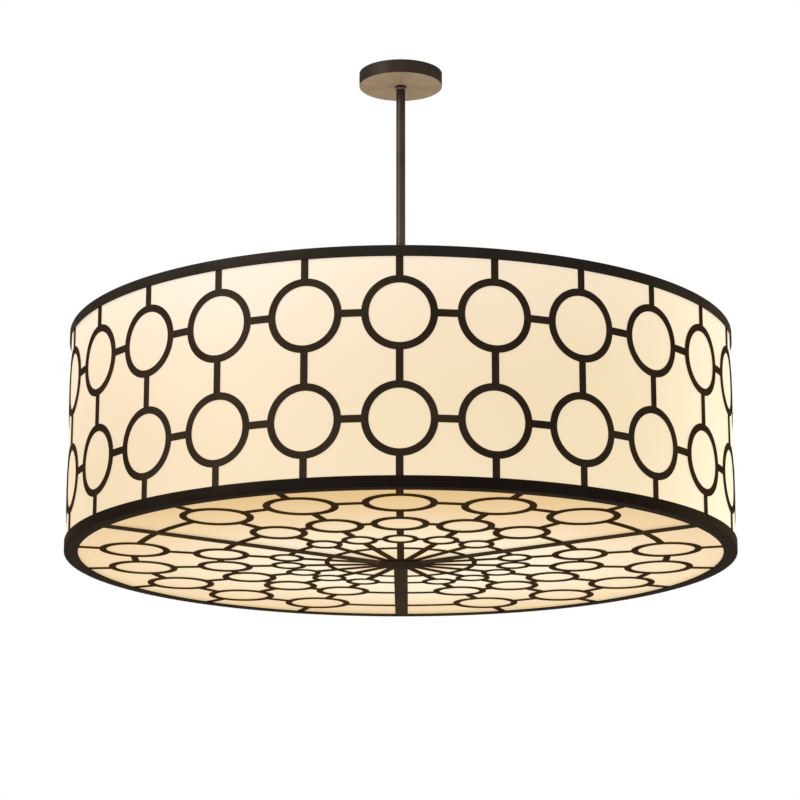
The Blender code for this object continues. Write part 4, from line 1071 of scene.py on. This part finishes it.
armLow, armHigh = boxOf("top_arm_1")
armSizes = {"inner": 0.0145, "outer": 0.6009, "width": 0.01905, "corner": 0.0015, "edge": 0.0006,
            "slotGap": 0.0003, "slotEnd": 0.06}
armOutline = barOutline(armSizes["inner"], armSizes["outer"], armSizes["width"],
                        armSizes["corner"])
armHole = holeCutter(screwHole, armLow.z, armHigh.z, screwPlace, soft)
topArm = cutMesh(plateMesh(armOutline, armLow.z, armHigh.z, armSizes["edge"]), [armHole])
addCopies("topArms", topArm, bronze, 3, seamTurn, "top_arm")

topHubLow, topHubHigh = boxOf("top_hub")
topHubSizes = {"stemHole": 0.00885, "fillets": (0.0004, 0.0012, 0.0016, 0.0005)}
stemHole, slotGap = topHubSizes["stemHole"], armSizes["slotGap"]
slotHalf, slotStart = armSizes["width"] / 2 + slotGap, armSizes["inner"] - slotGap
slot = plateMesh([(slotStart, -slotHalf), (armSizes["slotEnd"], -slotHalf),
                  (armSizes["slotEnd"], slotHalf), (slotStart, slotHalf)],
                 topHubLow.z - slotHalf, armHigh.z + slotGap)
hubPlate = turnedMesh(tubeCorners(stemHole, topHubHigh.x, topHubLow.z, topHubHigh.z,
                                  topHubSizes["fillets"]), 96)
addPiece("topHub", cutMesh(hubPlate, copiesAt(slot, 3, seamTurn)), zinc, "top_hub")

washerSizes = {"thickness": 0.002, "fillets": (0.0003, 0.0006, 0.0005, 0.0003)}
lowerNutLow, lowerNutHigh = boxOf("hub_lower_nut")
washerUnder = lowerNutHigh.z - washerSizes["thickness"]
washer = turnedMesh(tubeCorners(stemHole, lowerNutHigh.x, washerUnder, lowerNutHigh.z,
                                washerSizes["fillets"]), 96)
lowerNut = nutMesh(stemHole, boxOf("hub_upper_nut")[1].y, lowerNutLow.z, washerUnder)
addPiece("hubUpperNut", nutIn("hub_upper_nut", stemHole), zinc, "hub_upper_nut")
addPiece("hubWasher", washer, zinc)
addPiece("hubLowerNut", lowerNut, zinc, "hub_lower_nut")

armScrewLow, armScrewHigh = boxOf("arm_screw_3")
armScrewSizes = {"head": 0.0045, "dome": 0.0016, "radius": 0.0025, "headHeight": 0.0028,
                 "recess": 0.0052, "recessWidth": 0.0009, "recessDepth": 0.0015,
                 "threadStart": 0.004, "tip": 0.0018, "tipLength": 0.0007, "pitch": 0.0008,
                 "threadDepth": 0.0003}
headRadius, shankRadius = armScrewSizes["head"], armScrewSizes["radius"]
headTop = armScrewLow.z + armScrewSizes["headHeight"]
armScrewCorners = ([(0, armScrewLow.z), (headRadius, armScrewLow.z, armScrewSizes["dome"]),
                    (headRadius, headTop, crisp), (shankRadius, headTop)]
                   + thread(shankRadius, armHigh.z - armScrewSizes["threadStart"],
                            armScrewHigh.z - armScrewSizes["tipLength"], armScrewSizes["pitch"],
                            armScrewSizes["threadDepth"])
                   + [(armScrewSizes["tip"], armScrewHigh.z), (0, armScrewHigh.z)])
halfRecess, recessDepth = armScrewSizes["recess"] / 2, armScrewSizes["recessDepth"]
recess = plateMesh(barOutline(-halfRecess, halfRecess, armScrewSizes["recessWidth"], crisp, 3),
                   armScrewLow.z - recessDepth, armScrewLow.z + recessDepth)
armScrew = cutMesh(turnedMesh(armScrewCorners, 32), [recess, turnedCopy(recess, quarterTurn)])
armScrew.transform(Matrix.Translation((screwPlace, 0, 0)))
addCopies("armScrews", armScrew, zinc, 3, seamTurn, "arm_screw")
print("hub, arms and screws made")


# Lamps: a six-sided box on the stem's end, and six arms out to porcelain sockets

clusterLow, clusterHigh = boxOf("lamp_cluster")
coverLow, coverHigh = boxOf("cluster_cover")
clusterSizes = {"wall": 0.0025, "floor": 0.003, "corner": 0.003, "innerCorner": 0.001,
                "edge": 0.0007, "rod": 0.00505, "wireHole": 0.0049, "stemHole": 0.0091}
apothem = clusterHigh.y
lampHeight = (clusterLow.z + clusterHigh.z) / 2
cavityFloor = clusterLow.z + clusterSizes["floor"]


def hexOutline(flatHalf, corner):
    # A hexagon with a corner on +X, its corners rounded
    out = (flatHalf - corner) / math.cos(math.radians(30))
    turns = [wholeTurn / 6 * side for side in range(6)]
    middles = [(out * math.cos(turn), out * math.sin(turn)) for turn in turns]
    return roundedOutline(middles, corner, -wholeTurn / 12, 5)


def outwards(corners, steps):
    # A piece turned about Z is laid along +X at the height of the lamps
    mesh = turnedMesh(corners, steps)
    mesh.transform(Matrix.Translation((0, 0, lampHeight)) @ Matrix.Rotation(quarterTurn, 4, "Y"))
    return mesh


boxOutline = hexOutline(apothem, clusterSizes["corner"])
cavityOutline = hexOutline(apothem - clusterSizes["wall"], clusterSizes["innerCorner"])
cavity = plateMesh(cavityOutline, cavityFloor, clusterHigh.z + clusterSizes["floor"])
past = clusterSizes["wall"] * 2
wireHole = outwards(tubeCorners(0, clusterSizes["wireHole"], apothem - past, apothem + past), 32)
rodHole = holeCutter(clusterSizes["rod"], clusterLow.z, cavityFloor, chamfer=soft)
clusterBox = cutMesh(plateMesh(boxOutline, clusterLow.z, clusterHigh.z, clusterSizes["edge"]),
                     [cavity, rodHole] + copiesAt(wireHole, 6, frontTurn))
addPiece("lampCluster", clusterBox, bronze, "lamp_cluster")
coverHole = holeCutter(clusterSizes["stemHole"], coverLow.z, coverHigh.z, chamfer=soft)
cover = cutMesh(plateMesh(boxOutline, coverLow.z, coverHigh.z, clusterSizes["edge"]), [coverHole])
addPiece("clusterCover", cover, bronze, "cluster_cover")

lampArmSizes = {"radius": 0.00635, "bore": 0.0049, "start": 0.0383, "end": 0.190,
                "fillets": (0.0003, 0.0003, 0.0005, 0.0003)}
lampArm = outwards(tubeCorners(lampArmSizes["bore"], lampArmSizes["radius"],
                               lampArmSizes["start"], lampArmSizes["end"],
                               lampArmSizes["fillets"]), 40)
addCopies("lampArms", lampArm, bronze, 6, frontTurn, "lamp_arm")

# The socket's profile is (radius, distance out from its back, fillet)
socketSizes = {"back": 0.1903, "profile": (
    (0.004, 0, soft), (0.0155, 0, 0.0012), (0.0155, 0.007, 0.0008), (0.019, 0.0105, 0.0012),
    (0.019, 0.039, 0.0005), (0.0181, 0.0402, soft), (0.0181, 0.0418, soft),
    (0.019, 0.043, 0.0005), (0.019, 0.055, 0.0016), (0.0136, 0.055, 0.001),
    (0.0136, 0.029, 0.0008), (0.004, 0.029, soft))}
socketCorners = [(radius, socketSizes["back"] + out, fillet)
                 for radius, out, fillet in socketSizes["profile"]]
addCopies("lampSockets", outwards(socketCorners, 56), porcelain, 6, frontTurn, "lamp_socket")

# The glass is in shares of the bulb's length, and of its swell past the neck
bulbSizes = {
    "base": 0.2196, "length": 0.106, "radius": 0.030, "neck": 0.0129, "tip": 0.0002,
    "cap": ((0, 0), (0.005, 0), (0.0055, 0.001), (0.0115, 0.0035)), "threadRadius": 0.0131,
    "threadStart": 0.0045, "threadEnd": 0.022, "pitch": 0.0036, "threadDepth": 0.0008,
    "lip": 0.0127, "lipEnd": 0.0262,
    "glass": ((0.245, 0.0), (0.30, 0.04), (0.35, 0.18), (0.43, 0.46), (0.52, 0.76),
              (0.62, 0.95), (0.73, 1.0), (0.84, 0.83), (0.93, 0.42), (0.98, -0.06))}
base, baseEnd = bulbSizes["base"], bulbSizes["base"] + bulbSizes["lipEnd"]
baseCorners = ([(radius, base + out) for radius, out in bulbSizes["cap"]]
               + thread(bulbSizes["threadRadius"], base + bulbSizes["threadStart"],
                        base + bulbSizes["threadEnd"], bulbSizes["pitch"],
                        bulbSizes["threadDepth"])
               + [(bulbSizes["lip"], baseEnd, soft), (0, baseEnd)])
addCopies("bulbBases", outwards(baseCorners, 48), zinc, 6, frontTurn)


def smoothRun(places, steps=6):
    # A curve through each place, for the glass of a bulb
    padded = [places[0]] + places + [(-places[-2][0], places[-2][1])]
    run = []
    for before, start, stop, after in zip(padded, padded[1:], padded[2:], padded[3:]):
        for step in range(steps):
            share = step / steps
            run.append(tuple(0.5 * (
                2 * b + (c - a) * share + (2 * a - 5 * b + 4 * c - d) * share ** 2
                + (3 * b - a - 3 * c + d) * share ** 3)
                for a, b, c, d in zip(before, start, stop, after)))
    return run + [places[-1]]


swell = bulbSizes["radius"] - bulbSizes["neck"]
glass = [(bulbSizes["neck"] + swell * out, base + bulbSizes["length"] * along)
         for along, out in bulbSizes["glass"]]
glassEnd = base + bulbSizes["length"] - bulbSizes["tip"]
glassRun = [(0, glass[0][1])] + smoothRun(glass + [(0, glassEnd)])
addCopies("bulbs", outwards(glassRun, 56), frosted, 6, frontTurn, "bulb")
print("lamps made")


# The rod from the cluster's floor down to the bottom hub, and the nut that holds it

rodLow, rodHigh = boxOf("centre_rod")
rodSizes = {"radius": 0.00475, "root": 0.0042, "lowThread": 0.012, "topThread": 0.018,
            "chamfer": 0.0006, "pitch": 0.00125}
rodRadius, chamfer, pitch = rodSizes["radius"], rodSizes["chamfer"], rodSizes["pitch"]
rodCorners = ([(0, rodLow.z), (rodSizes["root"], rodLow.z)]
              + thread(rodRadius, rodLow.z + chamfer, rodLow.z + rodSizes["lowThread"], pitch)
              + thread(rodRadius, rodHigh.z - rodSizes["topThread"], rodHigh.z - chamfer, pitch)
              + [(rodSizes["root"], rodHigh.z), (0, rodHigh.z)])
addPiece("centreRod", turnedMesh(rodCorners, 40), zinc, "centre_rod")
addPiece("rodNut", nutIn("rod_nut", clusterSizes["rod"]), zinc, "rod_nut")
print("rod made")


# Camera, floor, background and light

cameraLooks = {"place": (0.0152, -5.1203, -1.9359), "rise": 14.205, "swing": 0.17,
               "lens": 128.78, "sensor": 36.0, "shift": (-0.00092, 0.00045),
               "nearest": 0.05, "farthest": 100.0}
camera = bpy.data.objects.new("camera", bpy.data.cameras.new("camera"))
bpy.context.scene.collection.objects.link(camera)
camera.location = cameraLooks["place"]
camera.rotation_euler = (quarterTurn + math.radians(cameraLooks["rise"]), 0,
                         math.radians(cameraLooks["swing"]))
camera.data.lens = cameraLooks["lens"]
camera.data.sensor_width = cameraLooks["sensor"]
camera.data.shift_x, camera.data.shift_y = cameraLooks["shift"]
camera.data.clip_start, camera.data.clip_end = cameraLooks["nearest"], cameraLooks["farthest"]
bpy.context.scene.camera = camera

white = (1.0, 1.0, 1.0, 1.0)
stageLooks = {"floorHeight": -8.0, "floorSize": 60.0, "floor": shown(240, 240, 238),
              "worldLight": 0.62, "floorGlow": 0.42, "farGlow": 0.12, "fadeStart": 1.5,
              "fadeEnd": 9.0}


def seenDirectly(tree):
    # 1 for the camera, for reflections and for what shows through glass
    rays = tree.tree.nodes.new("ShaderNodeLightPath")
    names = ("Is Camera Ray", "Is Glossy Ray", "Is Transmission Ray")
    seen = [Wire(tree, rays.outputs[name]) for name in names]
    return (seen[0] + seen[1] + seen[2]).clamped()


def makeFloor():
    half, height = stageLooks["floorSize"] / 2, stageLooks["floorHeight"]
    mesh = bpy.data.meshes.new("floor")
    corners = [(x, y, height) for x, y in ((-half, -half), (half, -half), (half, half),
                                           (-half, half))]
    mesh.from_pydata(corners, [], [(0, 1, 2, 3)])
    floor = bpy.data.objects.new("floor", mesh)
    bpy.context.scene.collection.objects.link(floor)
    material, tree, _, (x, y, _) = startMaterial("paleFloor")
    # Far out it glows a little more, so that it runs into the white background with no edge
    far = (x * x + y * y).function("SQRT").eased(stageLooks["fadeStart"], stageLooks["fadeEnd"])
    strength = seenDirectly(tree) * (stageLooks["floorGlow"] + stageLooks["farGlow"] * far)
    paper = tree.node("ShaderNodeBsdfDiffuse", None, {"Color": stageLooks["floor"]})
    glow = tree.node("ShaderNodeEmission", None, {"Color": white, "Strength": strength})
    both = tree.node("ShaderNodeAddShader", None, {0: paper, 1: glow})
    tree.node("ShaderNodeOutputMaterial", None, {"Surface": both})
    mesh.materials.append(material)


def makeWorld():
    world = bpy.data.worlds.new("studio")
    bpy.context.scene.world = world
    world.use_nodes = True
    world.node_tree.nodes.clear()
    tree = Tree(world.node_tree)
    seen = seenDirectly(tree)
    strength = stageLooks["worldLight"] * (1 - seen) + seen
    background = tree.node("ShaderNodeBackground", None, {"Color": white, "Strength": strength})
    tree.node("ShaderNodeOutputWorld", None, {"Surface": background})


drumMiddle = (0.0, 0.0, shadeMiddle)
lights = {
    "key": {"place": (-3.9, -2.8, 1.4), "target": drumMiddle, "size": 3.0, "power": 145.0,
            "colour": (0.96, 0.98, 1.04), "reflected": True},
    "fill": {"place": (4.4, 1.9, -0.4), "target": drumMiddle, "size": 2.6, "power": 60.0,
             "colour": (1.0, 0.98, 0.96), "reflected": True},
    "drumGlow": {"place": (0.0, 0.0, upperHigh.z - 0.02), "target": (0.0, 0.0, 0.0),
                 "size": 1.1, "power": 12.0, "colour": (1.0, 0.89, 0.74), "reflected": False}}


def addLight(name, looks):
    light = bpy.data.objects.new(name, bpy.data.lights.new(name, "AREA"))
    bpy.context.scene.collection.objects.link(light)
    light.data.shape = "DISK"
    light.data.size = looks["size"]
    light.data.energy = looks["power"]
    light.data.color = looks["colour"]
    light.location = looks["place"]
    towards = Vector(looks["target"]) - Vector(looks["place"])
    light.rotation_euler = towards.to_track_quat("-Z", "Y").to_euler()
    light.visible_camera = False
    light.visible_glossy = looks["reflected"]


makeFloor()
makeWorld()
for lightName, lightLooks in lights.items():
    addLight(lightName, lightLooks)
bpy.context.scene.view_settings.view_transform = "Standard"
print("camera, floor and light made")
